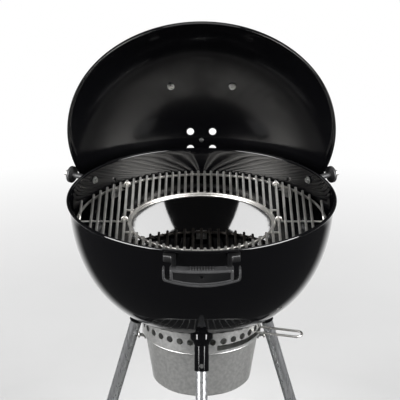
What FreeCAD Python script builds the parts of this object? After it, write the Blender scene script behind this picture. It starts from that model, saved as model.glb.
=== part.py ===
import FreeCAD, Part
import math
import os
import Sketcher
from FreeCAD import Placement, Rotation, Vector

# Kettle charcoal grill standing open, with its lid parked in the holder behind the bowl.
# The model is laid out from the bowl's axis: X to the right, Y to the back, and Z up from
# the middle of the bowl's rolled rim. Each sub-part's Placement then moves it to the frame
# of the finished part, whose origin is on the floor under the middle of its outline.

doc = FreeCAD.newDocument("kettle_grill")
sheet = doc.addObject("Spreadsheet::Sheet", "Sizes")

DRIVING_SIZES = [
    # alias, millimetres or degrees, what it is
    ("rim_height", 790, "middle of the rolled rim above the floor"),
    ("axis_back", -7.68, "bowl axis behind the middle of the outline"),
    ("wall", 1.5, "enamelled sheet of bowl and lid"),
    ("bowl_radius", 280.8, "outside of the bowl's wall at the rim"),
    ("bowl_depth", 274.6, "rim to the underside of the bowl"),
    ("bowl_fullness", 2.818, "exponent of the bowl's outline"),
    ("bead_orbit", 284.1, "middle of the rolled rim's wire"),
    ("bead_radius", 3.4, "half the rolled rim's thickness"),
    ("ash_hole_radius", 22, "three holes in the bowl's floor"),
    ("ash_hole_orbit", 66, "those holes from the bowl's axis"),
    ("lid_radius", 291.5, "outside of the lid's hem"),
    ("lid_depth", 182, "lid's edge plane to the top of the dome"),
    ("lid_shoulder", 284.5, "dome radius where the hem begins"),
    ("hem_height", 9, "straight part of the hem"),
    ("lid_lean", 17, "parked lid leans this far forward"),
    ("lid_back", 147, "centre of the lid's edge behind the bowl axis"),
    ("lid_up", 89.5, "centre of the lid's edge above the rim"),
    ("handle_bolt_reach", 68.5, "lid handle bolts from the lid's axis"),
    ("bolt_radius", 3, "bolts of handles and spools"),
    ("damper_turn_off", 24.9, "damper from the lid's axis, as an angle about the dome's centre"),
    ("damper_radius", 47, "damper disc"),
    ("damper_hole_radius", 8.25, "four draught holes"),
    ("damper_hole_across", 25, "draught holes from the rivet, across"),
    ("damper_hole_along", 19.7, "draught holes from the rivet, up and down"),
    ("spool_angle", 32.5, "spools behind the sideways direction"),
    ("spool_drop", 19.5, "spool axis below the rim"),
    ("spool_barrel", 6, "spool barrel radius"),
    ("spool_flange", 18.5, "spool flange radius"),
    ("spool_inner", 282.6, "spool's inner end from the bowl axis"),
    ("spool_neck", 334, "flange's inner face from the bowl axis"),
    ("spool_outer", 341, "flange's outer face from the bowl axis"),
    ("hoop_rod", 4, "lid holder's rod radius"),
    ("grate_drop", 49, "cooking bars below the rim"),
    ("grate_radius", 271, "ends of the cooking bars"),
    ("grate_ring", 266, "cooking grate's outer ring"),
    ("grate_rod", 2.8, "cooking grate's bars"),
    ("grate_pitch", 14.3, "cooking bars, centre to centre"),
    ("insert_ring", 155.2, "ring round the empty middle"),
    ("coal_drop", 166, "charcoal bars below the rim"),
    ("coal_radius", 217, "charcoal grate's radius"),
    ("coal_rod", 3, "charcoal grate's bars"),
    ("coal_pitch", 19, "charcoal bars, centre to centre"),
    ("band_radius", 129, "outside of the perforated band"),
    ("band_bottom", 306, "band's lower edge below the rim"),
    ("band_sheet", 1.2, "sheet of band and bucket"),
    ("band_hole_radius", 7.25, "band's draught holes"),
    ("band_hole_drop", 280, "draught holes below the rim"),
    ("lever_drop", 294.5, "ash lever below the rim"),
    ("lever_rod", 2.5, "lever's wire radius"),
    ("lever_reach", 226, "lever's tip from the bowl axis"),
    ("lever_angle", -15, "lever's direction, ahead of sideways"),
    ("shaft_radius", 6, "ash sweeper's shaft"),
    ("bucket_top", 308.5, "ash bucket's rim below the grill's rim"),
    ("bucket_depth", 112, "ash bucket's depth"),
    ("bucket_mouth", 123, "bucket radius at its rim"),
    ("bucket_foot", 107, "bucket radius at its floor"),
    ("bail_radius", 136, "bucket's bail, middle of the wire"),
    ("leg_radius", 12.7, "leg tube's outside"),
    ("leg_sheet", 1.4, "leg tube's wall"),
    ("leg_orbit", 152, "leg axis from the bowl axis, 280 below the rim"),
    ("leg_level", 280, "level at which leg_orbit is measured"),
    ("leg_splay", 17, "legs lean outwards"),
    ("socket_radius", 15.5, "leg socket's outside"),
    ("wheel_radius", 100, "tyre's outside"),
    ("wheel_middle", 279, "wheel's middle plane from the centre plane"),
    ("wheel_half_width", 19, "half the hub's width"),
    ("axle_radius", 5, "axle"),
    ("rack_drop", 612, "bottom rack below the rim"),
    ("rack_ring", 227, "bottom rack's ring"),
    ("rack_rod", 4, "bottom rack's ring rod radius"),
]
for row, (alias, number, meaning) in enumerate(DRIVING_SIZES, start=1):
    sheet.set("A%d" % row, meaning)
    sheet.set("B%d" % row, str(number))
    sheet.setAlias("B%d" % row, alias)
doc.recompute()


class Size:
    """A number together with the sheet expression that it comes from."""

    def __init__(self, number, text):
        self.number = float(number)
        self.text = text

    def __add__(self, other):
        other = as_size(other)
        return Size(self.number + other.number, "(%s + %s)" % (self.text, other.text))

    def __sub__(self, other):
        other = as_size(other)
        return Size(self.number - other.number, "(%s - %s)" % (self.text, other.text))

    def __mul__(self, other):
        other = as_size(other)
        return Size(self.number * other.number, "(%s * %s)" % (self.text, other.text))

    def __neg__(self):
        return Size(-self.number, "(0 - %s)" % self.text)


def as_size(thing):
    """Let a plain number stand where a Size is wanted."""
    if isinstance(thing, Size):
        return thing
    return Size(thing, repr(float(thing)))


S = {name: Size(sheet.get(name), "Sizes." + name) for name, number, meaning in DRIVING_SIZES}
N = {name: size.number for name, size in S.items()}

WORLD = Placement(Vector(0, N["axis_back"], N["rim_height"]), Rotation())
UP = Vector(0, 0, 1)
nodes = []


# ---------------------------------------------------------------- helpers

def bind(thing, path, size):
    """Give a property the value of a Size and tie it to the sheet."""
    thing.setExpression(path, as_size(size).text)


def keep(thing, name, local=None):
    """Finish a sub-part: name it, place it, and list it for export."""
    thing.Label = name
    thing.Placement = WORLD.multiply(local) if local else WORLD
    nodes.append(thing)
    return thing


def keep_shape(shape, name, local=None):
    """Finish a sub-part whose shape comes from Part's own functions."""
    feature = doc.addObject("Part::Feature", name)
    feature.Shape = shape
    return keep(feature, name, local)


def plane_of(body, role):
    """Find one of a body's own origin planes or axes."""
    return next(item for item in body.Origin.OriginFeatures if item.Role == role)


def new_body(name):
    return doc.addObject("PartDesign::Body", name)


def new_sketch(body, name, role="XZ_Plane"):
    sketch = body.newObject("Sketcher::SketchObject", name)
    sketch.AttachmentSupport = [(plane_of(body, role), "")]
    sketch.MapMode = "FlatFace"
    return sketch


def pin(sketch, geometry, end, across, up):
    """Tie one end of a line or arc to sheet sizes."""
    across = as_size(across)
    up = as_size(up)
    spot = sketch.addConstraint(Sketcher.Constraint("DistanceX", -1, 1, geometry, end, across.number))
    bind(sketch, "Constraints[%d]" % spot, across)
    spot = sketch.addConstraint(Sketcher.Constraint("DistanceY", -1, 1, geometry, end, up.number))
    bind(sketch, "Constraints[%d]" % spot, up)


def draw_outline(sketch, corners):
    """Closed outline of straight lines, with every corner tied to sheet sizes."""
    points = [Vector(as_size(across).number, as_size(up).number, 0) for across, up in corners]
    count = len(points)
    first = sketch.GeometryCount
    for index in range(count):
        sketch.addGeometry(Part.LineSegment(points[index], points[(index + 1) % count]), False)
    for index in range(count):
        after = first + (index + 1) % count
        sketch.addConstraint(Sketcher.Constraint("Coincident", first + index, 2, after, 1))
        pin(sketch, first + index, 1, *corners[index])


def draw_circle(sketch, radius, across=0, up=0):
    """Circle whose radius and middle are tied to sheet sizes."""
    middle = Vector(as_size(across).number, as_size(up).number, 0)
    circle = sketch.addGeometry(Part.Circle(middle, UP, as_size(radius).number), False)
    pin(sketch, circle, 3, across, up)
    spot = sketch.addConstraint(Sketcher.Constraint("Radius", circle, as_size(radius).number))
    bind(sketch, "Constraints[%d]" % spot, radius)
    return circle


def spin(body, sketch, name):
    """Full turn of a sketch about the body's own Z axis."""
    turn = body.newObject("PartDesign::Revolution", name)
    turn.Profile = sketch
    turn.ReferenceAxis = (sketch, ["V_Axis"])
    turn.Angle = 360
    return turn


def lathe(name, corners, local=None, keep_it=True):
    """Turned piece: an outline of radius and height, spun about Z."""
    body = new_body(name)
    sketch = new_sketch(body, name + "_outline")
    draw_outline(sketch, corners)
    spin(body, sketch, name + "_turned")
    if keep_it:
        keep(body, name, local)
    return body


def pad(body, sketch, name, length, both_ways=False, backwards=False):
    feature = body.newObject("PartDesign::Pad", name)
    feature.Profile = sketch
    feature.Midplane = both_ways
    feature.Reversed = backwards
    bind(feature, "Length", length)
    return feature


def cylinder(name, radius, length, local):
    """Part cylinder along the local Z axis, its sizes tied to the sheet."""
    tool = doc.addObject("Part::Cylinder", name)
    bind(tool, "Radius", radius)
    bind(tool, "Height", length)
    tool.Placement = local
    return tool


def cut_away(name, base, tools, local=None):
    """Take tools from a base and keep the result as a sub-part."""
    joined = tools[0]
    if len(tools) > 1:
        joined = doc.addObject("Part::MultiFuse", name + "_tools")
        joined.Shapes = tools
    cut = doc.addObject("Part::Cut", name)
    cut.Base = base
    cut.Tool = joined
    return keep(cut, name, local)


def toward(direction, origin=Vector()):
    """Placement whose Z axis points along a direction."""
    return Placement(origin, Rotation(UP, direction))


def around(degrees):
    """Turn about the bowl's axis."""
    return Placement(Vector(), Rotation(UP, degrees))


def polar(radius, degrees, height=0.0):
    angle = math.radians(degrees)
    return Vector(radius * math.cos(angle), radius * math.sin(angle), height)


def rod(start, end, radius):
    """Straight round bar between two points."""
    return Part.makeCylinder(radius, (end - start).Length, start, end - start)


def hoop(major, minor, height, first=0.0, sweep=360.0):
    """Ring, or part of one, of round wire about the bowl's axis."""
    ring = Part.makeTorus(major, minor, Vector(0, 0, height), UP, 0, 360, sweep)
    ring.rotate(Vector(), UP, first)
    return ring


def bent_rod(points, radius, bend):
    """Round bar along straight runs joined by arcs."""
    pieces = []
    start = points[0]
    for index in range(1, len(points) - 1):
        corner = points[index]
        back = (points[index - 1] - corner).normalize()
        ahead = (points[index + 1] - corner).normalize()
        half_angle = back.getAngle(ahead) / 2
        reach = bend / math.tan(half_angle)
        middle = corner + (back + ahead).normalize() * (bend / math.sin(half_angle))
        arc_start = corner + back * reach
        pieces.append(rod(start, arc_start, radius))
        pieces.append(rod_arc(arc_start, back * -1, middle, 180 - 2 * math.degrees(half_angle), radius))
        start = corner + ahead * reach
    pieces.append(rod(start, points[-1], radius))
    return fused(pieces)


def rod_arc(start, direction, middle, degrees, radius):
    """Bend of round bar that leaves a point along a direction and turns about a middle."""
    section = Part.Face(Part.Wire([Part.makeCircle(radius, start, direction)]))
    axis = (start - middle).cross(direction).normalize()
    return section.revolve(middle, axis, degrees)


def fused(shapes):
    return shapes[0].multiFuse(shapes[1:]).removeSplitter()


# ---------------------------------------------------------------- bowl

ASH_HOLE_ANGLE = 40
BOWL_STATIONS = [0, 0.15, 0.3, 0.45, 0.6, 0.73, 0.84, 0.92, 0.965, 0.99, 0.998, 1]


def bowl_point(station, inset):
    """Point of the bowl's outline: radius and height, moved in from the outside face."""
    power = N["bowl_fullness"]
    radius = N["bowl_radius"] * (1 - station ** 2) ** (1 / power)
    height = -N["bowl_depth"] * station
    out = power * (radius / N["bowl_radius"]) ** (power - 1) / N["bowl_radius"]
    down = 2 * height / N["bowl_depth"] ** 2
    length = math.hypot(out, down)
    return Vector(radius - inset * out / length, height - inset * down / length, 0)


def bowl_curve(inset):
    """Smooth curve down the bowl's wall to its axis."""
    curve = Part.BSplineCurve()
    curve.interpolate(
        Points=[bowl_point(station, inset) for station in BOWL_STATIONS],
        InitialTangent=Vector(0, -1, 0),
        FinalTangent=Vector(-1, 0, 0),
    )
    return curve


def bowl_envelope(swell):
    """Solid that fills the bowl, a little larger than its outside."""
    curve = bowl_curve(-swell)
    rim = curve.StartPoint
    middle = Vector(0, 0, 0)
    edges = [
        curve.toShape(),
        Part.makeLine(curve.EndPoint, middle),
        Part.makeLine(middle, rim),
    ]
    face = Part.Face(Part.Wire(edges))
    face.rotate(Vector(), Vector(1, 0, 0), 90)
    return face.revolve(Vector(), UP, 360)


def make_bowl():
    body = new_body("bowl_turned")
    sketch = new_sketch(body, "bowl_outline")
    outside = sketch.addGeometry(bowl_curve(0), False)
    inside = sketch.addGeometry(bowl_curve(N["wall"]), False)
    floor = -S["bowl_depth"]
    on_axis = sketch.addGeometry(Part.LineSegment(
        Vector(0, floor.number, 0), Vector(0, floor.number + N["wall"], 0)), False)
    top = sketch.addGeometry(Part.LineSegment(
        Vector(N["bowl_radius"] - N["wall"], 0, 0), Vector(N["bowl_radius"], 0, 0)), False)
    for first, end, second, start in (
        (outside, 2, on_axis, 1), (on_axis, 2, inside, 2), (inside, 1, top, 1), (top, 2, outside, 1),
    ):
        sketch.addConstraint(Sketcher.Constraint("Coincident", first, end, second, start))
    pin(sketch, on_axis, 1, 0, floor)
    pin(sketch, on_axis, 2, 0, floor + S["wall"])
    pin(sketch, top, 1, S["bowl_radius"] - S["wall"], 0)
    pin(sketch, top, 2, S["bowl_radius"], 0)
    spin(body, sketch, "bowl_wall")
    bead = new_sketch(body, "bead_outline")
    draw_circle(bead, S["bead_radius"], S["bead_orbit"], 0)
    spin(body, bead, "rolled_rim")
    holes = new_sketch(body, "ash_hole_outline", "XY_Plane")
    for index in range(3):
        spot = polar(N["ash_hole_orbit"], ASH_HOLE_ANGLE + 120 * index)
        circle = holes.addGeometry(Part.Circle(spot, UP, N["ash_hole_radius"]), False)
        limit = holes.addConstraint(Sketcher.Constraint("Radius", circle, N["ash_hole_radius"]))
        bind(holes, "Constraints[%d]" % limit, S["ash_hole_radius"])
    doc.recompute()
    opening = body.newObject("PartDesign::Pocket", "ash_holes")
    opening.Profile = holes
    opening.Type = 1
    opening.Midplane = True
    body.Tip = opening
    tools = [cylinder("shaft_way", S["shaft_radius"] + 0.08, 60, Placement(Vector(0, 0, -300), Rotation()))]
    for side in (-1, 1):
        direction = Vector(side * math.cos(math.radians(N["spool_angle"])),
                           math.sin(math.radians(N["spool_angle"])), 0)
        start = direction * 260 + Vector(0, 0, -N["spool_drop"])
        tools.append(cylinder("spool_way", S["bolt_radius"] + 0.3, 40, toward(direction, start)))
        start = Vector(side * HANDLE_ARM_X, -255, HANDLE_SCREW_Z)
        tools.append(cylinder("handle_way", S["bolt_radius"] + 0.3, 40, toward(Vector(0, -1, 0), start)))
    return cut_away("bowl_shell", body, tools)


# ---------------------------------------------------------------- bowl handle

HANDLE_ARM_X = 69.5
HANDLE_SCREW_Z = -12.0
HANDLE_FRONT_Y = -361.0
HANDLE_BACK_Y = -326.0
HANDLE_TOP_Z = -12.0
HANDLE_BOTTOM_Z = -35.0
HANDLE_HALF = 78.5


def make_bowl_handle():
    """Moulded grip across the front, with an arm and an upturned tool hook at each end."""
    body = new_body("bowl_handle_moulding")
    bar = new_sketch(body, "grip_outline", "YZ_Plane")
    lip = 7.0
    draw_outline(bar, [
        (HANDLE_BACK_Y, HANDLE_TOP_Z), (HANDLE_FRONT_Y + lip, HANDLE_TOP_Z),
        (HANDLE_FRONT_Y, HANDLE_TOP_Z - lip), (HANDLE_FRONT_Y, HANDLE_BOTTOM_Z + lip),
        (HANDLE_FRONT_Y + lip, HANDLE_BOTTOM_Z), (HANDLE_FRONT_Y + 2 * lip, HANDLE_BOTTOM_Z),
        (HANDLE_BACK_Y, HANDLE_TOP_Z - 2 * lip),
    ])
    pad(body, bar, "grip", 2 * HANDLE_HALF, both_ways=True)
    arms = new_sketch(body, "arm_outline", "XY_Plane")
    arms.AttachmentOffset = Placement(Vector(0, 0, HANDLE_TOP_Z - 9), Rotation())
    for side in (-1, 1):
        inner = side * (HANDLE_ARM_X - 11)
        outer = side * HANDLE_HALF
        draw_outline(arms, [(inner, -270), (outer, -270), (outer, HANDLE_BACK_Y - 4), (inner, HANDLE_BACK_Y - 4)])
    pad(body, arms, "arms", 16)
    hooks = new_sketch(body, "hook_outline", "XZ_Plane")
    hooks.AttachmentOffset = Placement(Vector(0, 0, -HANDLE_FRONT_Y - 11), Rotation())
    for side in (-1, 1):
        draw_outline(hooks, [
            (side * HANDLE_HALF, -30), (side * HANDLE_HALF, -3),
            (side * (HANDLE_HALF - 7), -3), (side * (HANDLE_HALF - 7), -30),
        ])
    pad(body, hooks, "hooks", 9)
    doc.recompute()
    around_bowl = doc.addObject("Part::Feature", "bowl_clearance")
    around_bowl.Shape = bowl_envelope(0.3)
    tools = [around_bowl]
    for side in (-1, 1):
        start = Vector(side * HANDLE_ARM_X, -255, HANDLE_SCREW_Z)
        tools.append(cylinder("arm_way", S["bolt_radius"] + 0.05, 60, toward(Vector(0, -1, 0), start)))
    return cut_away("bowl_handle", body, tools)


def make_handle_bolts():
    """Two bolts with washers from inside the bowl into the handle's arms."""
    pieces = []
    for side in (-1, 1):
        wall_y = -math.sqrt(bowl_inner_radius(HANDLE_SCREW_Z) ** 2 - HANDLE_ARM_X ** 2)
        inside = Vector(side * HANDLE_ARM_X, wall_y, HANDLE_SCREW_Z)
        pieces.append(bolt(inside + Vector(0, 3.5, 0), Vector(0, -1, 0), 22, N["bolt_radius"], 5.5, 4, 8, 1.4))
    keep_shape(Part.makeCompound(pieces), "handle_bolts")


def bowl_inner_radius(height):
    """Inside radius of the bowl's wall at a height below the rim."""
    part_way = height / N["bowl_depth"]
    outside = N["bowl_radius"] * (1 - part_way ** 2) ** (1 / N["bowl_fullness"])
    return outside - N["wall"]


def bolt(seat, direction, length, radius, head_radius, head_height, washer_radius, washer_height):
    """Bolt whose head and washer sit on a seat and whose shank points along a direction."""
    shank = Part.makeCylinder(radius, length, seat, direction)
    washer = Part.makeCylinder(washer_radius, washer_height, seat, direction * -1)
    head_seat = seat - direction * (washer_height - 0.2)
    head = hexagon(head_radius, head_height + 0.2, head_seat, direction * -1)
    return fused([shank, washer, head])


def hexagon(radius, height, seat, direction):
    """Hexagonal head standing on a seat."""
    frame = toward(direction, seat)
    corners = [frame.multVec(polar(radius, 60 * index)) for index in range(7)]
    return Part.Face(Part.makePolygon(corners)).extrude(direction * height)


# ---------------------------------------------------------------- lid

LID_TURN = -(90 - N["lid_lean"])
LID = Placement(Vector(0, N["lid_back"], N["lid_up"]), Rotation(Vector(1, 0, 0), LID_TURN))
CAP_HEIGHT = N["lid_depth"] - N["hem_height"] - 3
DOME_RADIUS = (N["lid_shoulder"] ** 2 + CAP_HEIGHT ** 2) / (2 * CAP_HEIGHT)
DOME_MIDDLE = N["lid_depth"] - DOME_RADIUS
# The damper turns about a line through the dome's centre.
DAMPER = LID.multiply(Placement(Vector(0, 0, DOME_MIDDLE),
                                Rotation(Vector(1, 0, 0), -N["damper_turn_off"])))
RIVET_RADIUS = 2.6
DAMPER_SHEET = 1.2


def dome_height(radius, inset):
    """Height of the dome's face above the lid's edge plane at a radius."""
    return DOME_MIDDLE + math.sqrt((DOME_RADIUS - inset) ** 2 - radius ** 2)


def draw_dome(sketch, start_radius, inset):
    """Arc of the dome from a radius to the axis, pinned at both ends."""
    reach = DOME_RADIUS - inset
    start = math.asin(start_radius / reach)
    circle = Part.Circle(Vector(0, DOME_MIDDLE, 0), UP, reach)
    arc = sketch.addGeometry(Part.ArcOfCircle(circle, math.pi / 2 - start, math.pi / 2), False)
    return arc


def make_lid():
    """Enamelled dome with a straight hem, drilled for its handle and its draught holes."""
    body = new_body("lid_turned")
    sketch = new_sketch(body, "lid_outline")
    wall = N["wall"]
    hem = N["hem_height"]
    edge = N["lid_radius"]
    shoulder = N["lid_shoulder"]
    outer = draw_dome(sketch, shoulder, 0)
    inner = draw_dome(sketch, shoulder - wall, wall)
    shoulder_height = dome_height(shoulder, 0)
    inner_height = dome_height(shoulder - wall, wall)
    corners = [
        (shoulder, shoulder_height), (edge, hem), (edge, 0), (edge - wall, 0),
        (edge - wall, hem - wall), (shoulder - wall, inner_height),
    ]
    lines = []
    for start, end in zip(corners, corners[1:]):
        lines.append(sketch.addGeometry(Part.LineSegment(Vector(*start, 0), Vector(*end, 0)), False))
    on_axis = sketch.addGeometry(Part.LineSegment(
        Vector(0, N["lid_depth"] - wall, 0), Vector(0, N["lid_depth"], 0)), False)
    joints = [(outer, 1, lines[0], 1), (lines[-1], 2, inner, 1), (inner, 2, on_axis, 1), (on_axis, 2, outer, 2)]
    joints += [(first, 2, second, 1) for first, second in zip(lines, lines[1:])]
    for first, end, second, start in joints:
        sketch.addConstraint(Sketcher.Constraint("Coincident", first, end, second, start))
    pin(sketch, lines[1], 1, S["lid_radius"], S["hem_height"])
    pin(sketch, lines[2], 1, S["lid_radius"], 0)
    pin(sketch, lines[3], 1, S["lid_radius"] - S["wall"], 0)
    pin(sketch, on_axis, 2, 0, S["lid_depth"])
    spin(body, sketch, "dome")
    tools = []
    for side in (-1, 1):
        start = Vector(side * N["handle_bolt_reach"], 0, 100)
        tools.append(cylinder("handle_bolt_way", S["bolt_radius"] + 0.3, 120, Placement(start, Rotation())))
    in_lid = LID.inverse().multiply(DAMPER)
    for across in (-1, 1):
        for along in (-1, 1):
            start = Vector(across * N["damper_hole_across"], along * N["damper_hole_along"], 250)
            tools.append(cylinder("draught_way", S["damper_hole_radius"], 120,
                                  in_lid.multiply(Placement(start, Rotation()))))
    start = Placement(Vector(0, 0, 250), Rotation())
    tools.append(cylinder("rivet_way", RIVET_RADIUS + 0.05, 120, in_lid.multiply(start)))
    return cut_away("lid_shell", body, tools, LID)


def make_damper():
    """Domed disc that turns on a rivet outside the lid, with its thumb tab."""
    under = DOME_RADIUS + 0.35
    over = under + DAMPER_SHEET
    shell = Part.makeSphere(over, Vector(), UP, 0, 90, 360).cut(Part.makeSphere(under, Vector(), UP, 0, 90, 360))
    disc = shell.common(Part.makeCylinder(N["damper_radius"], 60, Vector(0, 0, under - 40)))
    for across in (-1, 1):
        for along in (-1, 1):
            start = Vector(across * N["damper_hole_across"], along * N["damper_hole_along"], 250)
            disc = disc.cut(Part.makeCylinder(N["damper_hole_radius"], 120, start))
    disc = disc.cut(Part.makeCylinder(RIVET_RADIUS + 0.06, 120, Vector(0, 0, 250)))
    rim_height = math.sqrt(under ** 2 - N["damper_radius"] ** 2)
    tab = Part.makeBox(12, 16, 15, Vector(-6, N["damper_radius"] - 9, rim_height + 0.4))
    tab = tab.makeFillet(4, [edge for edge in tab.Edges if is_upright(edge)])
    tab = tab.cut(Part.makeSphere(under, Vector(), UP, 0, 90, 360))
    return keep_shape(fused([disc, tab]), "damper_disc", DAMPER)


def is_upright(edge):
    """Whether a straight edge runs along Z."""
    ends = [vertex.Point for vertex in edge.Vertexes]
    return abs((ends[0] - ends[-1]).normalize().z) > 0.99


def make_rivet():
    """Rivet with a head on either side of dome and damper."""
    inside = DOME_RADIUS - N["wall"]
    outside = DOME_RADIUS + 0.35 + DAMPER_SHEET
    pieces = [
        Part.makeCylinder(RIVET_RADIUS, outside - inside + 1.6, Vector(0, 0, inside - 0.8)),
        Part.makeCone(3.2, 5, 1.8, Vector(0, 0, inside - 1.95)),
        Part.makeCone(5.5, 3.2, 2.2, Vector(0, 0, outside + 0.2)),
    ]
    keep_shape(fused(pieces), "damper_rivet", DAMPER)


# Faces of the shield under the grip, outside the dome's face.
SHIELD_UNDER = 1.2
SHIELD_OVER = 2.6


def make_lid_handle():
    """Moulded grip that stands off the dome on two posts."""
    body = new_body("lid_handle_moulding")
    sketch = new_sketch(body, "lid_handle_outline")
    reach = N["handle_bolt_reach"]
    base = dome_height(reach + 13, 0) + 2
    top = dome_height(reach, 0) + 61.2
    draw_outline(sketch, [
        (-reach - 13, base), (-reach - 9, top - 12), (-reach + 6, top), (reach - 6, top),
        (reach + 9, top - 12), (reach + 13, base), (reach - 12, base), (reach - 16, top - 24),
        (-reach + 16, top - 24), (-reach + 12, base),
    ])
    grip = pad(body, sketch, "lid_grip", 26, both_ways=True)
    doc.recompute()
    soft = body.newObject("PartDesign::Fillet", "lid_grip_edges")
    edges = ["Edge%d" % (index + 1) for index, edge in enumerate(grip.Shape.Edges) if along_y(edge) and
             edge.CenterOfMass.z > base + 5]
    soft.Base = (grip, edges)
    soft.Radius = 6
    tools = []
    for side in (-1, 1):
        start = Vector(side * reach, 0, base - 10)
        tools.append(cylinder("grip_bolt_way", S["bolt_radius"] + 0.05, 42, Placement(start, Rotation())))
    seat = doc.addObject("Part::Sphere", "grip_seat")
    seat.Radius = DOME_RADIUS + SHIELD_OVER + 0.05
    seat.Placement = Placement(Vector(0, 0, DOME_MIDDLE), Rotation())
    return cut_away("lid_handle", body, tools + [seat], LID)


def along_y(edge):
    ends = [vertex.Point for vertex in edge.Vertexes]
    return len(ends) == 2 and abs((ends[0] - ends[-1]).normalize().y) > 0.99


def make_heat_shield():
    """Bent metal strip between the dome and the grip's two feet."""
    reach = N["handle_bolt_reach"]
    foot = dome_height(reach, 0) + 0.9
    strip = Part.makeBox(2 * reach + 34, 36, 30, Vector(-reach - 17, -18, foot - 14))
    shell = Part.makeSphere(DOME_RADIUS + SHIELD_OVER, Vector(0, 0, DOME_MIDDLE), UP, 0, 90, 360)
    shell = shell.cut(Part.makeSphere(DOME_RADIUS + SHIELD_UNDER, Vector(0, 0, DOME_MIDDLE), UP, 0, 90, 360))
    strip = strip.common(shell)
    for side in (-1, 1):
        strip = strip.cut(Part.makeCylinder(N["bolt_radius"] + 0.3, 60, Vector(side * reach, 0, foot - 30)))
    keep_shape(strip, "handle_heat_shield", LID)


def make_lid_bolts():
    """Two bolts with washers and nuts seen from inside the lid."""
    pieces = []
    reach = N["handle_bolt_reach"]
    inside = dome_height(reach, N["wall"])
    for side in (-1, 1):
        seat = Vector(side * reach, 0, inside - 2.2)
        pieces.append(bolt(seat, Vector(0, 0, 1), 28, N["bolt_radius"], 5.5, 4.5, 8, 1.5))
    keep_shape(Part.makeCompound(pieces), "lid_handle_bolts", LID)


# ---------------------------------------------------------------- lid holder

def spool_frame(side):
    """Frame of one spool: Z along its bolt, away from the bowl."""
    direction = Vector(side * math.cos(math.radians(N["spool_angle"])),
                       math.sin(math.radians(N["spool_angle"])), 0)
    return toward(direction, Vector(0, 0, -N["spool_drop"]))


def make_spool(side, name):
    """Moulded spool: a barrel that carries the lid's hem and a wide outer flange."""
    bore = S["bolt_radius"] + 0.1
    lathe(name, [
        (bore, S["spool_inner"]), (S["spool_barrel"] + 3, S["spool_inner"]),
        (S["spool_barrel"] + 3, S["spool_inner"] + 2), (S["spool_barrel"], S["spool_inner"] + 5),
        (S["spool_barrel"], S["spool_neck"]), (S["spool_flange"], S["spool_neck"] + 1.5),
        (S["spool_flange"], S["spool_outer"]), (bore, S["spool_outer"]),
    ], spool_frame(side))


def make_spool_bolt(side, name):
    """Long bolt from inside the bowl through the spool and the holder's eye."""
    wall = bowl_inner_radius(-N["spool_drop"])
    head_seat = wall - 1.2
    pieces = [
        Part.makeCylinder(N["bolt_radius"], N["spool_outer"] + 16 - head_seat, Vector(0, 0, head_seat)),
        Part.makeCylinder(8, 1.4, Vector(0, 0, head_seat - 1.4)),
        hexagon(5.5, 5, Vector(0, 0, head_seat - 6.2), UP),
        hexagon(5.5, 5, Vector(0, 0, N["spool_outer"] + 9.6), UP),
    ]
    keep_shape(fused(pieces), name, spool_frame(side))


HOOP_LOW_Y = 345.0
HOOP_LOW_Z = -105.0


def make_lid_hoop():
    """Bent rod behind the bowl that keeps the parked lid from tipping back."""
    ends = []
    eyes = []
    for side in (-1, 1):
        frame = spool_frame(side)
        eye_at = N["spool_outer"] + N["hoop_rod"] + 0.8
        middle = frame.multVec(Vector(0, 0, eye_at))
        outward = frame.Rotation.multVec(UP)
        eye_radius = N["bolt_radius"] + 0.15 + N["hoop_rod"]
        eyes.append(Part.makeTorus(eye_radius, N["hoop_rod"], middle, outward))
        ends.append(middle + Vector(0, eye_radius * 0.75, -eye_radius * 0.66))
    low = Vector(0, HOOP_LOW_Y, HOOP_LOW_Z)
    circle = Part.Arc(ends[0], low, ends[1]).toShape().Curve
    first = ends[0] - circle.Center
    across = (low - circle.Center).normalize()
    turn = math.degrees(2 * first.getAngle(across))
    direction = first.cross(across).normalize().cross(first).normalize()
    sweep = rod_arc(ends[0], direction, circle.Center, turn, N["hoop_rod"])
    shape = fused([sweep] + eyes)
    for side in (-1, 1):
        frame = spool_frame(side)
        base = frame.multVec(Vector(0, 0, N["spool_outer"] - 4))
        way = Part.makeCylinder(N["bolt_radius"] + 0.15, 30, base, frame.Rotation.multVec(UP))
        shape = shape.cut(way)
    keep_shape(shape, "lid_hoop")


# ---------------------------------------------------------------- cooking grate

GRATE_Z = -N["grate_drop"]
RING_Z = GRATE_Z - 5.0
HINGE_X = 11.5 * N["grate_pitch"]
KNUCKLE_WIRE = 2.4
KNUCKLE_Y = 196.0


def grate_bars(first, last, centre_hole):
    """Parallel bars, each as long as the round grate allows, open over the middle hole."""
    bars = []
    step = first
    while step <= last + 0.01:
        x = step * N["grate_pitch"]
        end = math.sqrt(N["grate_radius"] ** 2 - x ** 2)
        start = 0
        if centre_hole and abs(x) < N["insert_ring"]:
            start = math.sqrt(N["insert_ring"] ** 2 - x ** 2)
        if start:
            for side in (-1, 1):
                bars.append(rod(Vector(x, side * start, GRATE_Z), Vector(x, side * end, GRATE_Z), N["grate_rod"]))
        else:
            bars.append(rod(Vector(x, -end, GRATE_Z), Vector(x, end, GRATE_Z), N["grate_rod"]))
        step += 1
    return bars


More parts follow.
